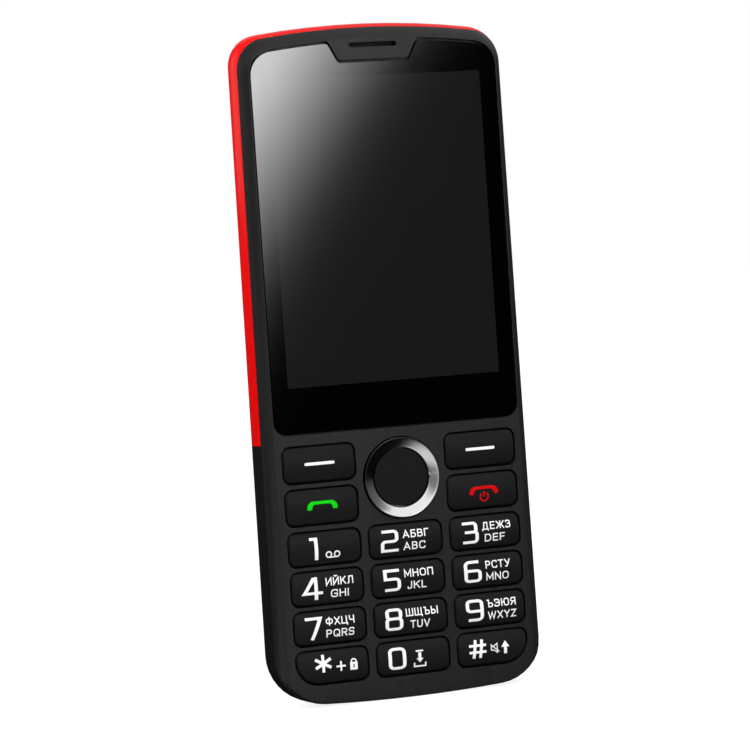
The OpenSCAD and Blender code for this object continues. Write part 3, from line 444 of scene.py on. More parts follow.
def stroke(points, width, closed=False, longer=0):
    """Quads along a line of points, with mitred joints; its two ends can reach a bit further."""
    n = len(points)
    if longer:
        points = [Vector(p) for p in points]
        if not closed:
            points[0] += (points[0] - points[1]).normalized() * longer
            points[-1] += (points[-1] - points[-2]).normalized() * longer
        points = [(p.x, p.y) for p in points]
    left, right = [], []
    for i, p in enumerate(points):
        before = points[i - 1] if i > 0 or closed else None
        after = points[(i + 1) % n] if i < n - 1 or closed else None
        dirs = []
        for a, b in ((before, p), (p, after)):
            if a is not None and b is not None:
                d = Vector((b[0] - a[0], b[1] - a[1]))
                dirs.append(d.normalized())
        normals = [Vector((-d.y, d.x)) for d in dirs]
        m = sum(normals, Vector((0, 0))).normalized()
        reach = width / 2 / max(0.35, m.dot(normals[0]))
        left.append((p[0] + m.x * reach, p[1] + m.y * reach))
        right.append((p[0] - m.x * reach, p[1] - m.y * reach))
    quads = []
    for i in range(n if closed else n - 1):
        j = (i + 1) % n
        quads.append([right[i], right[j], left[j], left[i]])
    return quads


def bend(points, radii, closed=False, steps=5):
    """Line with its corners rounded."""
    n = len(points)
    out = []
    for i, p in enumerate(points):
        r = radii[i] if isinstance(radii, (list, tuple)) else radii
        if not r or (not closed and i in (0, n - 1)):
            out.append(p)
            continue
        p, before, after = Vector(p), Vector(points[i - 1]), Vector(points[(i + 1) % n])
        u, v = (before - p).normalized(), (after - p).normalized()
        half = u.angle(v) / 2
        r = min(r, 0.49 * math.tan(half) * min((before - p).length, (after - p).length))
        c = p + (u + v).normalized() * (r / math.sin(half))
        a = p + u * (r / math.tan(half)) - c
        b = p + v * (r / math.tan(half)) - c
        start, turn = math.atan2(a.y, a.x), a.angle_signed(b)
        angles = [start - turn * k / steps for k in range(steps + 1)]
        out += [(c.x + r * math.cos(angle), c.y + r * math.sin(angle)) for angle in angles]
    return out


PEN = 0.52
WIDE = 1.32
# Centre lines of the digits in a box one high and one wide, with their corner radii in millimetres
# and whether the line is closed
DIGITS = {
    "0": [([(0, 0), (1, 0), (1, 1), (0, 1)], 0.66, True)],
    "1": [([(0.0, 1), (1, 1), (1, -0.09)], 0, False)],
    "2": [([(0, 1), (1, 1), (1, 0.48), (0, 0.48), (0, 0), (1.1, 0)], [0, 0.56, 0.56, 0.56, 0, 0], False)],
    "3": [([(0, 1), (0.94, 1), (0.94, 0.53), (0.15, 0.53)], [0, 0.5, 0.42, 0], False),
          ([(0.15, 0.53), (1, 0.53), (1, 0), (0, 0)], [0, 0.42, 0.54, 0], False)],
    "4": [([(0.62, 1.04), (0.0, 0.26), (1.12, 0.26)], 0, False), ([(0.72, 1.08), (0.72, -0.09)], 0, False)],
    "5": [([(1.05, 1), (0, 1), (0, 0.56), (1, 0.56), (1, 0), (-0.05, 0)], [0, 0, 0, 0.56, 0.56, 0], False)],
    "6": [([(0.95, 1), (0, 1), (0, 0), (1, 0), (1, 0.54), (0, 0.54)], [0, 0.66, 0.56, 0.56, 0.54, 0], False)],
    "7": [([(-0.08, 1), (1.0, 1), (0.36, -0.1)], 0, False)],
    "8": [([(0.04, 0.54), (0.96, 0.54), (0.96, 1), (0.04, 1)], 0.5, True),
          ([(0, 0), (1, 0), (1, 0.54), (0, 0.54)], 0.55, True)],
    "9": [([(0.05, 0), (1, 0), (1, 1), (0, 1), (0, 0.46), (1, 0.46)], [0, 0.66, 0.56, 0.56, 0.54, 0], False)],
}


def digit(character, x0, cz, width, height=4.15):
    """A square-cut digit: its pen is wider across than up."""
    w, h = width / WIDE - PEN, height - PEN
    quads = []
    for points, radii, closed in DIGITS[character]:
        line = bend([(u * w, v * h - h / 2) for u, v in points], radii, closed)
        quads += stroke(line, PEN, closed)
    return [[(x0 + (x + PEN / 2) * WIDE, cz + z) for x, z in quad] for quad in quads]


# Centre lines of the letters: the width, then lines of points with their corner radii, in heights of a
# letter; across, the width is the unit, and a line that ends where it starts is closed
LETTERS = {
    "A": (0.8, [("0,0 .5,1 1,0", ""), (".18,.3 .82,.3", "")]),
    "B": (0.62, [("0,0 1,0 1,.53 0,.53 0,0", "0 .25 .25 0"),
                 ("0,.53 .94,.53 .94,1 0,1 0,.53", "0 .22 .22 0")]),
    "C": (0.7, [("1,.8 1,1 0,1 0,0 1,0 1,.2", "0 .3 .34 .34 .3 0")]),
    "D": (0.7, [("0,0 1,0 1,1 0,1 0,0", "0 .4 .4 0")]),
    "E": (0.55, [("1,1 0,1 0,0 1,0", ""), ("0,.52 .9,.52", "")]),
    "F": (0.55, [("1,1 0,1 0,0", ""), ("0,.5 .85,.5", "")]),
    "G": (0.75, [("1,.8 1,1 0,1 0,0 1,0 1,.46 .55,.46", "0 .3 .34 .34 .2 0 0")]),
    "H": (0.68, [("0,0 0,1", ""), ("1,0 1,1", ""), ("0,.52 1,.52", "")]),
    "I": (0.02, [("0,0 0,1", "")]),
    "J": (0.45, [("1,1 1,0 0,0 0,.22", "0 .25 .2 0")]),
    "K": (0.66, [("0,0 0,1", ""), ("1,1 .1,.46", ""), (".36,.62 1,0", "")]),
    "L": (0.5, [("0,1 0,0 1,0", "")]),
    "M": (0.86, [("0,0 0,1 .5,.2 1,1 1,0", "")]),
    "N": (0.7, [("0,0 0,1 1,0 1,1", "")]),
    "O": (0.76, [("0,0 1,0 1,1 0,1 0,0", ".36 .36 .36 .36")]),
    "P": (0.6, [("0,0 0,1 1,1 1,.45 0,.45", "0 0 .26 .26 0")]),
    "Q": (0.76, [("0,0 1,0 1,1 0,1 0,0", ".36 .36 .36 .36"), (".6,.25 1,-.04", "")]),
    "R": (0.62, [("0,0 0,1 1,1 1,.47 0,.47", "0 0 .25 .25 0"), (".5,.45 1,0", "")]),
    "S": (0.6, [("1,.84 1,1 0,1 0,.52 1,.52 1,0 0,0 0,.16", "0 .24 .23 .23 .24 .24 .24 0")]),
    "T": (0.66, [("0,1 1,1", ""), (".5,1 .5,0", "")]),
    "U": (0.68, [("0,1 0,0 1,0 1,1", "0 .32 .32 0")]),
    "V": (0.76, [("0,1 .5,0 1,1", "")]),
    "W": (1.12, [("0,1 .25,0 .5,.92 .75,0 1,1", "")]),
    "X": (0.7, [("0,0 1,1", ""), ("0,1 1,0", "")]),
    "Y": (0.72, [("0,1 .5,.46 1,1", ""), (".5,.5 .5,0", "")]),
    "Z": (0.65, [("0,1 1,1 0,0 1,0", "")]),
    "Б": (0.6, [(".92,1 0,1 0,0 1,0 1,.57 0,.57", "0 0 0 .27 .27 0")]),
    "Г": (0.5, [("1,1 0,1 0,0", "")]),
    "Д": (0.82, [(".16,0 .3,1 .82,1 .82,0", ""), ("0,-.18 0,0 1,0 1,-.18", "")]),
    "Ж": (1.04, [("0,1 .36,.5 0,0", ""), ("1,1 .64,.5 1,0", ""), (".36,.5 .64,.5", ""), (".5,0 .5,1", "")]),
    "З": (0.58, [("0,.86 0,1 .94,1 .94,.53 .4,.53", "0 .22 .22 .2 0"),
                 (".4,.53 1,.53 1,0 0,0 0,.16", "0 .24 .25 .24 0")]),
    "И": (0.7, [("0,1 0,0 1,1 1,0", "")]),
    "Й": (0.7, [("0,1 0,0 1,1 1,0", ""), (".28,1.3 .5,1.2 .72,1.3", "")]),
    "Л": (0.7, [("0,0 .16,0 .28,1 1,1 1,0", "0 .1 0 0 0")]),
    "П": (0.68, [("0,0 0,1 1,1 1,0", "")]),
    "У": (0.7, [("0,1 .55,.36", ""), ("1,1 .4,0 .1,0", "0 .1 0")]),
    "Ф": (0.9, [(".5,-.04 .5,1.04", ""), ("0,.18 1,.18 1,.84 0,.84 0,.18", ".3 .3 .3 .3")]),
    "Ц": (0.78, [("0,1 0,0 1,0 1,-.2", ""), (".86,1 .86,0", "")]),
    "Ч": (0.62, [("0,1 0,.42 1,.42", "0 .24 0"), ("1,1 1,0", "")]),
    "Ш": (0.96, [("0,1 0,0 1,0 1,1", ""), (".5,1 .5,0", "")]),
    "Щ": (1.06, [("0,1 0,0 1,0 1,-.2", ""), (".45,1 .45,0", ""), (".9,1 .9,0", "")]),
    "Ъ": (0.76, [("0,1 .26,1 .26,0 1,0 1,.54 .26,.54", "0 0 0 .25 .25 0")]),
    "Ы": (0.88, [("0,1 0,0 .62,0 .62,.54 0,.54", "0 0 .25 .25 0"), ("1,0 1,1", "")]),
    "Э": (0.66, [("0,.8 0,1 1,1 1,0 0,0 0,.2", "0 .3 .34 .34 .3 0"), (".3,.52 1,.52", "")]),
    "Ю": (1.02, [("0,0 0,1", ""), ("0,.52 .36,.52", ""), (".36,0 1,0 1,1 .36,1 .36,0", ".3 .3 .3 .3")]),
    "Я": (0.62, [("1,0 1,1 0,1 0,.47 1,.47", "0 0 .26 .26 0"), (".5,.47 0,0", "")]),
}
for there, here in zip("АВЕКМНОРСТХ", "ABEKMHOPCTX"):
    LETTERS[there] = LETTERS[here]


def words(text, x0, x1, cz, height=1.48, pen=0.22, space=0.36):
    """Strokes of letters fitted to a width and a height."""
    total = sum(LETTERS[c][0] for c in text) + space * (len(text) - 1)
    across, up = (x1 - x0 - pen) / total, height - pen
    quads, at = [], x0 + pen / 2
    for c in text:
        width, lines = LETTERS[c]
        for line, radii in lines:
            points = [tuple(float(v) for v in pair.split(",")) for pair in line.split()]
            closed = points[0] == points[-1]
            if closed:
                points.pop()
            points = [(at + x * width * across, cz + (z - 0.5) * up) for x, z in points]
            rounds = [float(r) * up for r in radii.split()] or 0
            quads += stroke(bend(points, rounds, closed, 4), pen, closed, pen / 2)
        at += (width + space) * across
    return quads


def circle(cx, cz, r, width, start=0, end=360, steps=20):
    points = arc(cx, cz, r, start, end, steps)
    full = end - start >= 360
    return stroke(points[:-1] if full else points, width, full)


def disc(cx, cz, r, steps=16):
    return [arc(cx, cz, r, 0, 360, steps)[:-1]]


def bar(x0, z0, x1, z1, width):
    return stroke([(x0, z0), (x1, z1)], width)


def asterisk(cx, cz, r, width):
    return [q for a in (90, 30, 150) for q in bar(
        cx - r * math.cos(math.radians(a)), cz - r * 0.92 * math.sin(math.radians(a)),
        cx + r * math.cos(math.radians(a)), cz + r * 0.92 * math.sin(math.radians(a)), width)]


def handset(cx, top, half):
    """Flat telephone handset: the right half's outline and its mirror image, with round corners."""
    points = [(cx + x, top + z) for x, z in half]
    mirrored = [(cx - x, top + z) for x, z in reversed(half)]
    radii = [0.7, 0.9, 0.12, 0.12, 0.5, 0.4]
    return [bend(points + mirrored, radii + radii[::-1], True)]


HANDSET_STRAIGHT = [(2.1, 0), (2.9, -0.5), (3.1, -1.58), (2.12, -1.58), (1.9, -0.75), (1.5, -0.57)]
HANDSET_SPREAD = [(1.75, 0), (2.6, -0.25), (3.1, -1.35), (2.35, -1.7), (1.85, -0.78), (1.4, -0.57)]


PRINT_OUT, PRINT_IN, FACE_STEP = 0.035, 0.04, 0.35


def legend(key, loops, material=white_mat):
    """Printed shapes of one key, which follow its crowned face."""
    face = key_face(key)
    cz = key_size(key)[1]
    lines = [cz + FACE_STEP * k for k in range(-9, 10)]
    verts, faces = plate(loops, [], lambda x, z: face(x, z) - PRINT_OUT, lambda x, z: face(x, z) + PRINT_IN,
                         lines)
    new_piece("legend_" + key, verts, faces, material, key, "key_black", smooth=0)


def key_left(key):
    """Left side and middle height of a key's cap."""
    cx, cz, w, _ = key_size(key)
    return cx - w / 2, cz


def voice_mail(left, cz):
    loops = []
    for s in (-1, 1):
        loops += circle(left + 8.7 + s * 0.83, cz - 1.3, 0.52, 0.26)
    return loops + bar(left + 7.87, cz - 1.82, left + 9.53, cz - 1.82, 0.26)


def download(x, cz):
    loops = bar(x - 0.75, cz + 1.05, x + 0.75, cz + 1.05, 0.28)
    loops += bar(x, cz + 0.75, x, cz - 0.5, 0.6)
    loops += [[(x - 0.72, cz - 0.35), (x, cz - 1.15), (x + 0.72, cz - 0.35)]]
    tray = [(x - 1.15, cz - 1.15), (x - 1.15, cz - 1.85), (x + 1.15, cz - 1.85), (x + 1.15, cz - 1.15)]
    return loops + stroke(tray, 0.3)


def padlock(x, cz):
    loops = []
    for s in (-1, 1):
        loops += bar(x + s * 0.44, cz - 1.07, x + s * 0.44, cz + 0.41, 0.62)
        loops += bar(x + s * 0.5, cz + 0.3, x + s * 0.5, cz + 0.55, 0.24)
    loops += bar(x - 0.14, cz + 0.22, x + 0.14, cz + 0.22, 0.38)
    loops += bar(x - 0.14, cz - 0.85, x + 0.14, cz - 0.85, 0.44)
    return loops + stroke(arc(x, cz + 0.5, 0.5, 180, 0, 8), 0.24)


def hash_sign(left, cz):
    loops = []
    for s in (-0.62, 0.72):
        loops += bar(left + 4.0 + s - 0.24, cz - 1.7, left + 4.0 + s + 0.24, cz + 1.8, 0.58)
    for s in (-0.6, 0.68):
        loops += bar(left + 2.25, cz + s + 0.05, left + 5.75, cz + s + 0.05, 0.48)
    return loops


def muted_horn(x, cz):
    horn = [(x - 0.75, cz - 0.45), (x - 0.75, cz + 0.25), (x - 0.25, cz + 0.25), (x + 0.5, cz + 0.75),
            (x + 0.5, cz - 0.95), (x - 0.25, cz - 0.45)]
    return stroke(horn, 0.17, True) + bar(x - 0.85, cz + 0.65, x + 0.9, cz - 0.85, 0.17)


def arrow_up(x, cz):
    head = [(x - 0.85, cz - 0.05), (x + 0.85, cz - 0.05), (x, cz + 1.15)]
    return bar(x, cz - 1.35, x, cz + 0.1, 0.62) + [head]


# Number keys: the digit with its left side and width, then the upper and the lower letters with both
# their ends, all from the key's left side
DIGIT_ROW, UPPER_ROW, LOWER_ROW = 0.02, 1.08, -1.2
LAYOUT = {
    "key_1": ("1", 3.8, 1.95, None, None),
    "key_2": ("2", 2.2, 3.65, ("АБВГ", 6.75, 12.1), ("ABC", 6.8, 11.3)),
    "key_3": ("3", 2.15, 3.6, ("ДЕЖЗ", 6.55, 12.5), ("DEF", 7.0, 11.25)),
    "key_4": ("4", 2.1, 4.0, ("ИЙКЛ", 6.85, 12.4), ("GHI", 7.75, 11.4)),
    "key_5": ("5", 2.3, 3.45, ("МНОП", 6.55, 12.5), ("JKL", 7.1, 11.0)),
    "key_6": ("6", 2.25, 3.6, ("РСТУ", 6.75, 11.9), ("MNO", 6.8, 11.5)),
    "key_7": ("7", 2.1, 3.5, ("ФХЦЧ", 6.3, 12.1), ("PQRS", 6.3, 11.95)),
    "key_8": ("8", 2.07, 3.62, ("ШЩЪЫ", 6.35, 12.95), ("TUV", 7.15, 11.2)),
    "key_9": ("9", 2.1, 3.65, ("ЪЭЮЯ", 6.5, 12.55), ("WXYZ", 6.6, 12.55)),
    "key_0": ("0", 2.2, 3.6, None, None),
}
for key, (character, start, width, upper, lower) in LAYOUT.items():
    left, cz = key_left(key)
    loops = digit(character, left + start, cz + DIGIT_ROW, width)
    if upper:
        loops += words(upper[0], left + upper[1], left + upper[2], cz + UPPER_ROW)
        loops += words(lower[0], left + lower[1], left + lower[2], cz + LOWER_ROW)
    if key == "key_1":
        loops += voice_mail(left, cz)
    if key == "key_0":
        loops += download(left + 8.6, cz)
    legend(key, loops)

STAR_SHIFT, END_SHIFT = 0.2, 0.2
left, cz = key_left("key_star")
left += STAR_SHIFT
loops = asterisk(left + 5.05, cz + 0.7, 1.8, 0.56)
loops += bar(left + 7.65, cz - 0.1, left + 9.5, cz - 0.1, 0.34)
loops += bar(left + 8.58, cz - 1.03, left + 8.58, cz + 0.83, 0.34)
legend("key_star", loops + padlock(left + 11.18, cz))

left, cz = key_left("key_hash")
legend("key_hash", hash_sign(left, cz) + muted_horn(left + 7.55, cz) + arrow_up(left + 9.75, cz))

SOFT_REACH, SOFT_UP, SOFT_PEN = 2.75, 0.08, 0.56
for key in ("soft_key_left", "soft_key_right"):
    cx, cz = key_size(key)[:2]
    x0, x1, z = cx - SOFT_REACH, cx + SOFT_REACH, cz + SOFT_UP
    legend(key, bar(x0, z, x1, z, SOFT_PEN) + disc(x0, z, SOFT_PEN / 2) + disc(x1, z, SOFT_PEN / 2))

cx, cz = key_size("call_key")[:2]
legend("call_key", handset(cx, cz + 1.02, HANDSET_STRAIGHT), green_mat)

cx, cz = key_size("end_key")[:2]
cx += END_SHIFT
loops = handset(cx, cz + 0.88, HANDSET_SPREAD)
loops += circle(cx + 0.05, cz - 1.15, 0.82, 0.28, -230, 50)
loops += bar(cx + 0.05, cz - 1.2, cx + 0.05, cz - 0.2, 0.3)
legend("end_key", loops, red_mat)


# Direction ring: a turned dish with rounded rims

def lathe(name, profile, centre, material, body, slot, steps=160):
    """Ring through (radius, depth behind the front) pairs, closed from the last to the first."""
    angles = [2 * math.pi * i / steps for i in range(steps)]
    verts = []
    for r, depth in profile:
        ring = [(centre[0] + r * math.cos(a), F + depth, centre[1] + r * math.sin(a)) for a in angles]
        verts += [tuple(c * MM for c in point) for point in ring]
    faces = []
    for k in range(len(profile)):
        here, there = k * steps, (k + 1) % len(profile) * steps
        for i in range(steps):
            j = (i + 1) % steps
            faces.append((here + i, here + j, there + j, there + i))
    return new_piece(name, verts, faces, material, body, slot, smooth=35)


BORE_R, DISH_R, FLANGE_R = 5.65, 7.6, 8.0
RING_SEAT, RING_BACK = 2.35, 2.7
inner_rim = [math.radians(a) for a in (20, 45, 70)]
outer_rim = [math.radians(a) for a in range(-15, 91, 15)]
profile = [(BORE_R, RING_BACK), (BORE_R, 0.27)]
profile += [(5.75 - 0.1 * math.cos(a), 0.25 - 0.13 * math.sin(a)) for a in inner_rim]
profile += [(6.2, -0.06), (6.75, -0.26), (7.4, -0.495)]
profile += [(7.52 + 0.08 * math.sin(a), -0.44 - 0.08 * math.cos(a)) for a in outer_rim]
profile += [(DISH_R, -0.1), (DISH_R, RING_SEAT), (FLANGE_R, RING_SEAT), (FLANGE_R, RING_BACK)]
nav = middle(*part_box("nav_ring"))
ring = lathe("nav_ring_turned", profile, nav, ring_mat, "nav_ring", "ring_silver")
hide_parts("nav_ring")


# Lens: a black printed border and the window over the display

LENS_BOW, LENS_TOP_R, LENS_FOOT_R = 170 - 3.38, 4.5, 2.5
NOTCH_TOP, NOTCH_FOOT, NOTCH_DEPTH, NOTCH_LEAD = 9.2, 7.2, 3.97, 12.0
LENS_BACK = 1.05
PANEL_EDGE, PANEL_FOOT = 2.0, 3.4


def lens_outline():
    """The lens from its lower left corner round; its bowed top has a notch for the earpiece's tongue."""
    low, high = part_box("display_lens")
    hx, z0, z1 = high[0] / MM, low[2] / MM, high[2] / MM
    bow, rt, rb = LENS_BOW, LENS_TOP_R, LENS_FOOT_R
    ct = z1 - bow + math.sqrt((bow - rt) ** 2 - (hx - rt) ** 2)
    ft = math.degrees(math.asin((hx - rt) / (bow - rt)))

    def on_top(x):
        return x, z1 - bow + math.sqrt(bow ** 2 - x ** 2)

    notch = [on_top(NOTCH_LEAD), on_top(NOTCH_TOP), (NOTCH_FOOT, z1 - NOTCH_DEPTH),
             (-NOTCH_FOOT, z1 - NOTCH_DEPTH), on_top(-NOTCH_TOP), on_top(-NOTCH_LEAD)]
    points = arc(-hx + rb, z0 + rb, rb, 180, 270, 8) + arc(hx - rb, z0 + rb, rb, 270, 360, 8)
    points += arc(hx - rt, ct, rt, 0, 90 - ft, 10)
    edge = [on_top(x) for x in (18, 16, 14)]
    points += [p for p in edge if p[0] < points[-1][0]]
    points += bend(notch, [0, 0.7, 1.0, 1.0, 0.7, 0])
    points += [(-x, z) for x, z in reversed(edge) if x < hx - rt + rt * math.sin(math.radians(ft))]
    return points + arc(-hx + rt, ct, rt, 90 + ft, 180, 10)


def lens_part(name, loops, holes, material):
    verts, faces = plate(loops, holes, lambda x, z: F + LENS_SUNK, lambda x, z: F + LENS_BACK)
    return new_piece(name, verts, faces, material, "phone", "lens_glass", smooth=0)


low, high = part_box("display_panel")
x0, x1 = low[0] / MM + PANEL_EDGE, high[0] / MM - PANEL_EDGE
screen_foot, screen_top = low[2] / MM + PANEL_FOOT, high[2] / MM - PANEL_EDGE
hole = [(x0, screen_foot), (x1, screen_foot), (x1, screen_top), (x0, screen_top)]
border = lens_part("lens_border", [lens_outline()], [hole], border_mat)
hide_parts("display_lens")
lens_part("lens_window", [hole], [], screen_mat)


# Camera lens and torch lens in the window of the back

def puck(name, centre, profile, material, slot):
    """Round plate through (radius, depth behind the front) pairs."""
    loops = [[(x, F + depth, z) for x, z in arc(*centre, r, 0, 360, 64)[:-1]] for r, depth in profile]
    new_piece(name, *stack(loops), material, "phone", slot, smooth=35)


low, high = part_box("camera_window")
back, eye_z = high[1] / MM - F, middle(low, high)[1]
eye = (middle(*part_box("camera_module"))[0], eye_z)
torch = (middle(*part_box("torch_led"))[0], eye_z)


def raised(*pairs):
    """Profile from pairs of a radius and a height over the camera's window."""
    return [(r, back + up) for r, up in pairs]


lathe("camera_bezel", raised((3.05, -0.1), (2.95, 0.045), (2.62, 0.045), (2.55, 0.02), (2.55, -0.1)),
      eye, chrome_mat, "phone", "lens_glass", steps=96)
puck("camera_lens", eye, raised((2.5, -0.1), (2.5, 0.012), (1.75, 0.012)), glass_mat, "lens_glass")
lathe("camera_iris", raised((1.75, -0.05), (1.7, 0.03), (1.35, 0.03), (1.25, 0.02), (1.25, -0.05)),
      eye, part_mat, "phone", "part_black", steps=72)
puck("camera_pupil", eye, raised((1.2, -0.05), (1.2, 0.015), (0.9, 0.04), (0.5, 0.045)), pupil_mat,
     "lens_glass")
puck("torch_lens", torch, raised((1.75, -0.1), (1.75, 0.02), (1.55, 0.045), (0.9, 0.045)), lamp_mat,
     "light_guide")
lathe("torch_bezel", raised((2.05, -0.1), (2.0, 0.045), (1.85, 0.045), (1.75, 0.03), (1.75, -0.1)),
      torch, chrome_mat, "phone", "lens_glass", steps=72)


# Battery's label: a pale sheet with a plain band and the signs of its poles

LABEL_ENDS, LABEL_SIDES = 3, 4
low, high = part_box("battery")
mid, foot, top = middle(low, high)[0], low[2] / MM + LABEL_ENDS, high[2] / MM - LABEL_ENDS
wide, behind = (high[0] - low[0]) / MM - LABEL_SIDES, high[1] / MM


def label(name, loops, sunk, proud, material):
    verts, faces = plate(loops, [], lambda x, z: behind - sunk, lambda x, z: behind + proud)
    new_piece(name, verts, faces, material, "battery", "battery_grey", smooth=0)


sheet = round_rect(mid, (foot + top) / 2, wide, top - foot, [1.2] * 4)
label("battery_sheet", [sheet], 0.05, 0.03, paper_mat)
sign_z, line_z = foot + 3.4, foot + 7
marks = [round_rect(mid, top - 5, wide - 4, 6, [0.8] * 4)]
marks += bar(mid - 3.2, sign_z, mid - 1.2, sign_z, 0.5) + bar(mid + 1.2, sign_z, mid + 3.2, sign_z, 0.5)
marks += bar(mid - 2.2, foot + 2.4, mid - 2.2, foot + 4.4, 0.5)
marks += bar(mid - wide / 2 + 2, line_z, mid + wide / 2 - 2, line_z, 0.3)
label("battery_marks", marks, 0.02, 0.06, battery_mat)


# Camera, as fitted to the photograph

YAW, PITCH, ROLL = 21.95, 2.20, -3.85
# Focal length and picture width in pixels, sensor width in millimetres
FOCAL, PICTURE, SENSOR = 3379.1, 750, 36
# Middle of the display's lower edge as the camera sees it, in millimetres
OFFSET = Vector((3.75, 0.94, 638.4))


def rotation(i, j, degrees):
    """Turn in the plane of two axes."""
    matrix = Matrix.Identity(3)
    matrix[i][i] = matrix[j][j] = math.cos(math.radians(degrees))
    matrix[j][i] = math.sin(math.radians(degrees))
    matrix[i][j] = -matrix[j][i]
    return matrix


def set_camera():
    upright = Matrix(((1, 0, 0), (0, 0, -1), (0, 1, 0)))
    view = rotation(0, 1, ROLL) @ rotation(1, 2, PITCH) @ upright @ rotation(0, 1, YAW)
    place = (-(view.transposed() @ OFFSET) + Vector((0, F, screen_foot))) * MM
    data = bpy.data.cameras.new("camera")
    data.sensor_fit = "HORIZONTAL"
    data.sensor_width = SENSOR
    data.lens = FOCAL * SENSOR / PICTURE
    data.clip_start = 0.01
    camera = bpy.data.objects.new("camera", data)
    axes = Matrix((view[0], -view[1], -view[2])).transposed()
    camera.matrix_world = Matrix.Translation(place) @ axes.to_4x4()
    SCENE.collection.objects.link(camera)
    SCENE.camera = camera


set_camera()


# Floor, background and lights

FLOOR_SIZE, FLOOR_DROP = 4.0, 0.00005


def bare_material(name):
    """Material with nothing but its output."""
    material = bpy.data.materials.new(name)
    material.use_nodes = True
    nodes, links = material.node_tree.nodes, material.node_tree.links
    nodes.clear()
    return material, nodes, links, nodes.new("ShaderNodeOutputMaterial").inputs["Surface"]


def stage_floor():
    mesh = bpy.data.meshes.new("floor")
    a = FLOOR_SIZE
    mesh.from_pydata([(-a, -a, 0), (a, -a, 0), (a, a, 0), (-a, a, 0)], [], [(0, 1, 2, 3)])
    floor = bpy.data.objects.new("floor", mesh)
    floor.location.z = -FLOOR_DROP
    SCENE.collection.objects.link(floor)
    material, nodes, links, out = bare_material("floor_white")
    matt = nodes.new("ShaderNodeBsdfDiffuse")
    matt.inputs["Color"].default_value = (0.25, 0.25, 0.25, 1)
    glow = nodes.new("ShaderNodeEmission")
    glow.inputs["Color"].default_value = (1, 1, 1, 1)
    links.new(seen(nodes, links, 0.86, 0.0), glow.inputs["Strength"])
    add = nodes.new("ShaderNodeAddShader")
    links.new(matt.outputs[0], add.inputs[0])
    links.new(glow.outputs[0], add.inputs[1])
    links.new(add.outputs[0], out)
    mesh.materials.append(material)


def seen(nodes, links, shown, other):
    """Strength for rays that show the background, and for all others."""
    path = nodes.new("ShaderNodeLightPath")
    total = path.outputs["Is Camera Ray"]
    for name in ("Is Glossy Ray", "Is Transmission Ray"):
        either = nodes.new("ShaderNodeMath")
        either.operation = "MAXIMUM"
        links.new(total, either.inputs[0])
        links.new(path.outputs[name], either.inputs[1])
        total = either.outputs[0]
    level = nodes.new("ShaderNodeMapRange")
    level.inputs["To Min"].default_value = other
    level.inputs["To Max"].default_value = shown
    links.new(total, level.inputs["Value"])
    return level.outputs["Result"]


def studio():
    world = bpy.data.worlds.new("studio")
    SCENE.world = world
    world.use_nodes = True
    nodes, links = world.node_tree.nodes, world.node_tree.links
    back = nodes["Background"]
    back.inputs["Color"].default_value = (1, 1, 1, 1)
    links.new(seen(nodes, links, 1.0, 0.3), back.inputs["Strength"])
    SCENE.view_settings.view_transform = "Standard"


def hang(light, place, behind):
    """Puts a light up so that it shines away from a direction, unseen in reflections."""
    stand = bpy.data.objects.new(light.name, light)
    stand.location = place
    stand.visible_glossy = False
    stand.rotation_euler = behind.to_track_quat("Z", "Y").to_euler()
    SCENE.collection.objects.link(stand)


def sun(name, towards, strength, angle):
    """Even light from one side, soft through its wide angle."""
    light = bpy.data.lights.new(name, "SUN")
    light.energy = strength
    light.angle = math.radians(angle)
    hang(light, Vector(towards).normalized(), Vector(towards))


def lamp(name, place, target, size, watts):
    """Small soft lamp close by."""
    light = bpy.data.lights.new(name, "AREA")
    light.shape = "DISK"
    light.size = size
    light.energy = watts
    hang(light, place, Vector(place) - Vector(target))


def card(name, points, faces, build, shades=False):
    """Sheet that only reflections show, and that keeps soft light away where it shades."""
    mesh = bpy.data.meshes.new(name)
    mesh.from_pydata(points, [], faces)
    material, nodes, links, out = bare_material(name)
    glow = nodes.new("ShaderNodeEmission")
    build(nodes, links, glow)
    if shades:
        path = nodes.new("ShaderNodeLightPath")
        links.new(path.outputs["Is Glossy Ray"], glow.inputs["Strength"])
    links.new(glow.outputs[0], out)
    mesh.materials.append(material)
    sheet = bpy.data.objects.new(name, mesh)
    SCENE.collection.objects.link(sheet)
    sheet.visible_camera = sheet.visible_transmission = sheet.visible_shadow = False
    sheet.visible_diffuse = shades


def graded(direction, stops, strength=1.0):
    """Grey levels at places along a direction."""
    def build(nodes, links, glow):
        where = nodes.new("ShaderNodeTexCoord")
        along = nodes.new("ShaderNodeVectorMath")
        along.operation = "DOT_PRODUCT"
        along.inputs[1].default_value = direction
        links.new(where.outputs["Object"], along.inputs[0])
        first, last = stops[0][0], stops[-1][0]
        part = nodes.new("ShaderNodeMapRange")
        part.inputs["From Min"].default_value = first
        part.inputs["From Max"].default_value = last
        links.new(along.outputs["Value"], part.inputs["Value"])
        ramp = nodes.new("ShaderNodeValToRGB")
        elements = ramp.color_ramp.elements
        for k, (place, level) in enumerate(stops):
            at = (place - first) / (last - first)
            if 0 < k < len(stops) - 1:
                stop = elements.new(at)
            else:
                stop = elements[-1 if k else 0]
            stop.position, stop.color = at, (level, level, level, 1)
        links.new(part.outputs["Result"], ramp.inputs["Fac"])
        links.new(ramp.outputs["Color"], glow.inputs["Color"])
        glow.inputs["Strength"].default_value = strength
    return build


def plain_dark(nodes, links, glow):
    glow.inputs["Color"].default_value = (0.02, 0.02, 0.02, 1)
    glow.inputs["Strength"].default_value = 1


def wall(start, end, foot, top):
    """Upright sheet over a line on the floor."""
    return [(*start, foot), (*end, foot), (*end, top), (*start, top)], [(0, 1, 2, 3)]


def flat(height, *corners):
    """Level sheet."""
    return [(x, y, height) for x, y in corners], [tuple(range(len(corners)))]


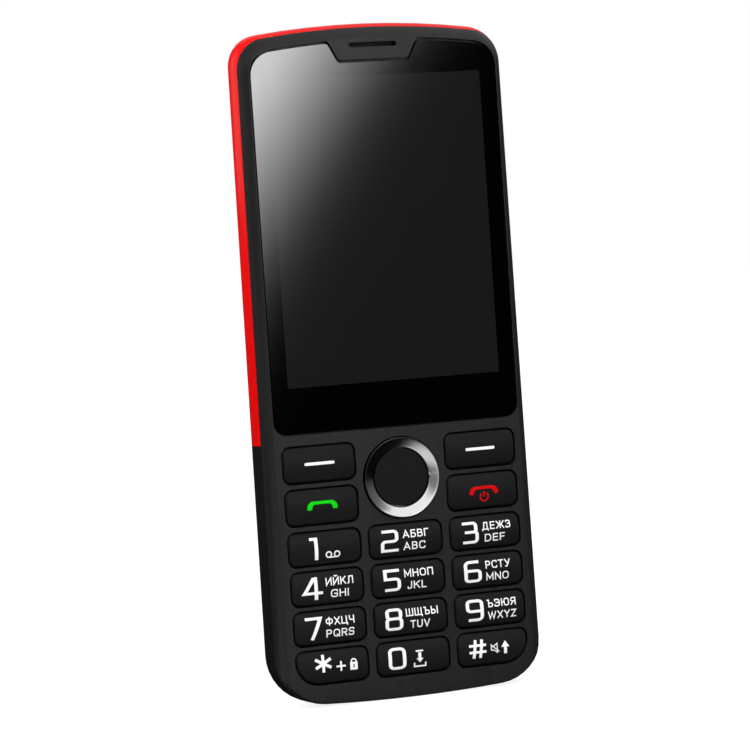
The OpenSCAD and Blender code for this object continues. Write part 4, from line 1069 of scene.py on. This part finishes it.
stage_floor()
studio()
sun("key_light", (0.1, -0.66, 0.745), 3.7, 30)
sun("back_light", (0.25, 0.9, 0.3), 1.0, 30)
lamp("side_light", (-0.21, 0.08, 0.155), (0, 0, 0.085), 0.16, 0.62)
ALONG_X, ALONG_Z, WINDOW_SLOPE = (1, 0, 0), (0, 0, 1), (-2.78, 0, 1.965)
WINDOW_FALL = [(-0.3225, 0.0), (-0.2907, 0.0018), (-0.2631, 0.0125), (-0.2419, 0.038), (-0.225, 0.084),
               (-0.1995, 0.205), (-0.1741, 0.385), (-0.1508, 0.585), (-0.1105, 1.0)]
FLOOR_FALL = [(-0.12, 0.1), (-0.06, 0.2), (-0.045, 0.4), (-0.03, 0.6), (-0.018, 0.74), (-0.003, 0.7),
              (0.007, 0.44), (0.016, 0.09), (0.025, 0.01), (0.03, 0.002)]
CARD_Y, GROUND = -0.45, 0.0002
card("window_card", *wall((0.10, CARD_Y), (0.42, CARD_Y), 0, 0.18), graded(WINDOW_SLOPE, WINDOW_FALL, 15.8))
card("upper_card", *wall((0.10, CARD_Y), (0.42, CARD_Y), 0.18, 0.3), graded(ALONG_Z, [(0.18, 0.8), (0.3, 1.0)]))
card("ring_card", *wall((0.42, CARD_Y), (0.6, 0.1), 0, 0.46),
     graded(ALONG_Z, [(0, 0.02), (0.015, 0.04), (0.1, 0.1), (0.19, 0.12), (0.27, 0.26), (0.36, 0.6), (0.44, 0.95)]))
card("camera_card", *wall((-0.27, -0.5), (-0.06, -0.5), 0.0, 0.26),
     graded(ALONG_Z, [(0, 0.18), (0.12, 0.18), (0.205, 0.64), (0.26, 0.95)]))
card("side_card", [(-0.45, -0.2, GROUND), (-0.1, -0.03, GROUND), (-0.03, 0.0, GROUND), (-0.03, 0.4, GROUND),
                   (-0.45, 0.4, GROUND), (-0.45, -0.2, 0.4), (-0.45, 0.4, 0.4), (-0.27, -0.5, 0),
                   (-0.27, -0.5, 0.4)],
     [(0, 1, 2, 3, 4), (0, 4, 6, 5), (0, 5, 8, 7)],
     graded(ALONG_Z, [(0, 0.005), (0.035, 0.005), (0.07, 0.25), (0.4, 0.25)]), shades=True)
card("back_card", *wall((-0.45, 0.4), (0.0, 0.4), 0.105, 0.4),
     graded(ALONG_X, [(-0.45, 0.02), (-0.36, 0.1), (-0.3, 0.7), (-0.19, 0.7), (-0.12, 0.05), (-0.05, 0.01)]))
card("low_card", *wall((-0.45, 0.4), (0.0, 0.4), GROUND, 0.105), plain_dark)
card("top_card", *flat(0.5, (-0.5, -0.15), (0.6, -0.15), (0.6, 0.6), (-0.5, 0.6)),
     graded((1, -1, 0), [(-0.6, 0.2), (-0.2, 0.35), (0.0, 0.55), (0.2, 0.9), (0.4, 1.0)]), shades=True)
card("rear_card", [(0.6, 0.1, GROUND), (0.3, 0.4, GROUND), (0.3, 0.4, 0.4), (0.6, 0.1, 0.4), (0.0, 0.4, GROUND),
                   (0.0, 0.4, 0.4), (0.024, 0.1, GROUND), (0.024, -0.02, GROUND), (0.6, -0.02, GROUND)],
     [(0, 1, 2, 3), (1, 4, 5, 2), (0, 1, 4, 6, 7, 8)],
     graded(ALONG_Z, [(0, 0.02), (0.15, 0.02), (0.22, 0.3), (0.4, 0.5)]))
card("foot_card", *flat(GROUND, (-0.03, -0.02), (0.024, -0.02), (0.024, 0.1), (0.0, 0.4), (-0.03, 0.4)), plain_dark)
card("floor_card", *flat(GROUND, (-0.25, -0.45), (0.6, -0.45), (0.6, -0.02), (-0.06, -0.02)),
     graded(ALONG_X, FLOOR_FALL))
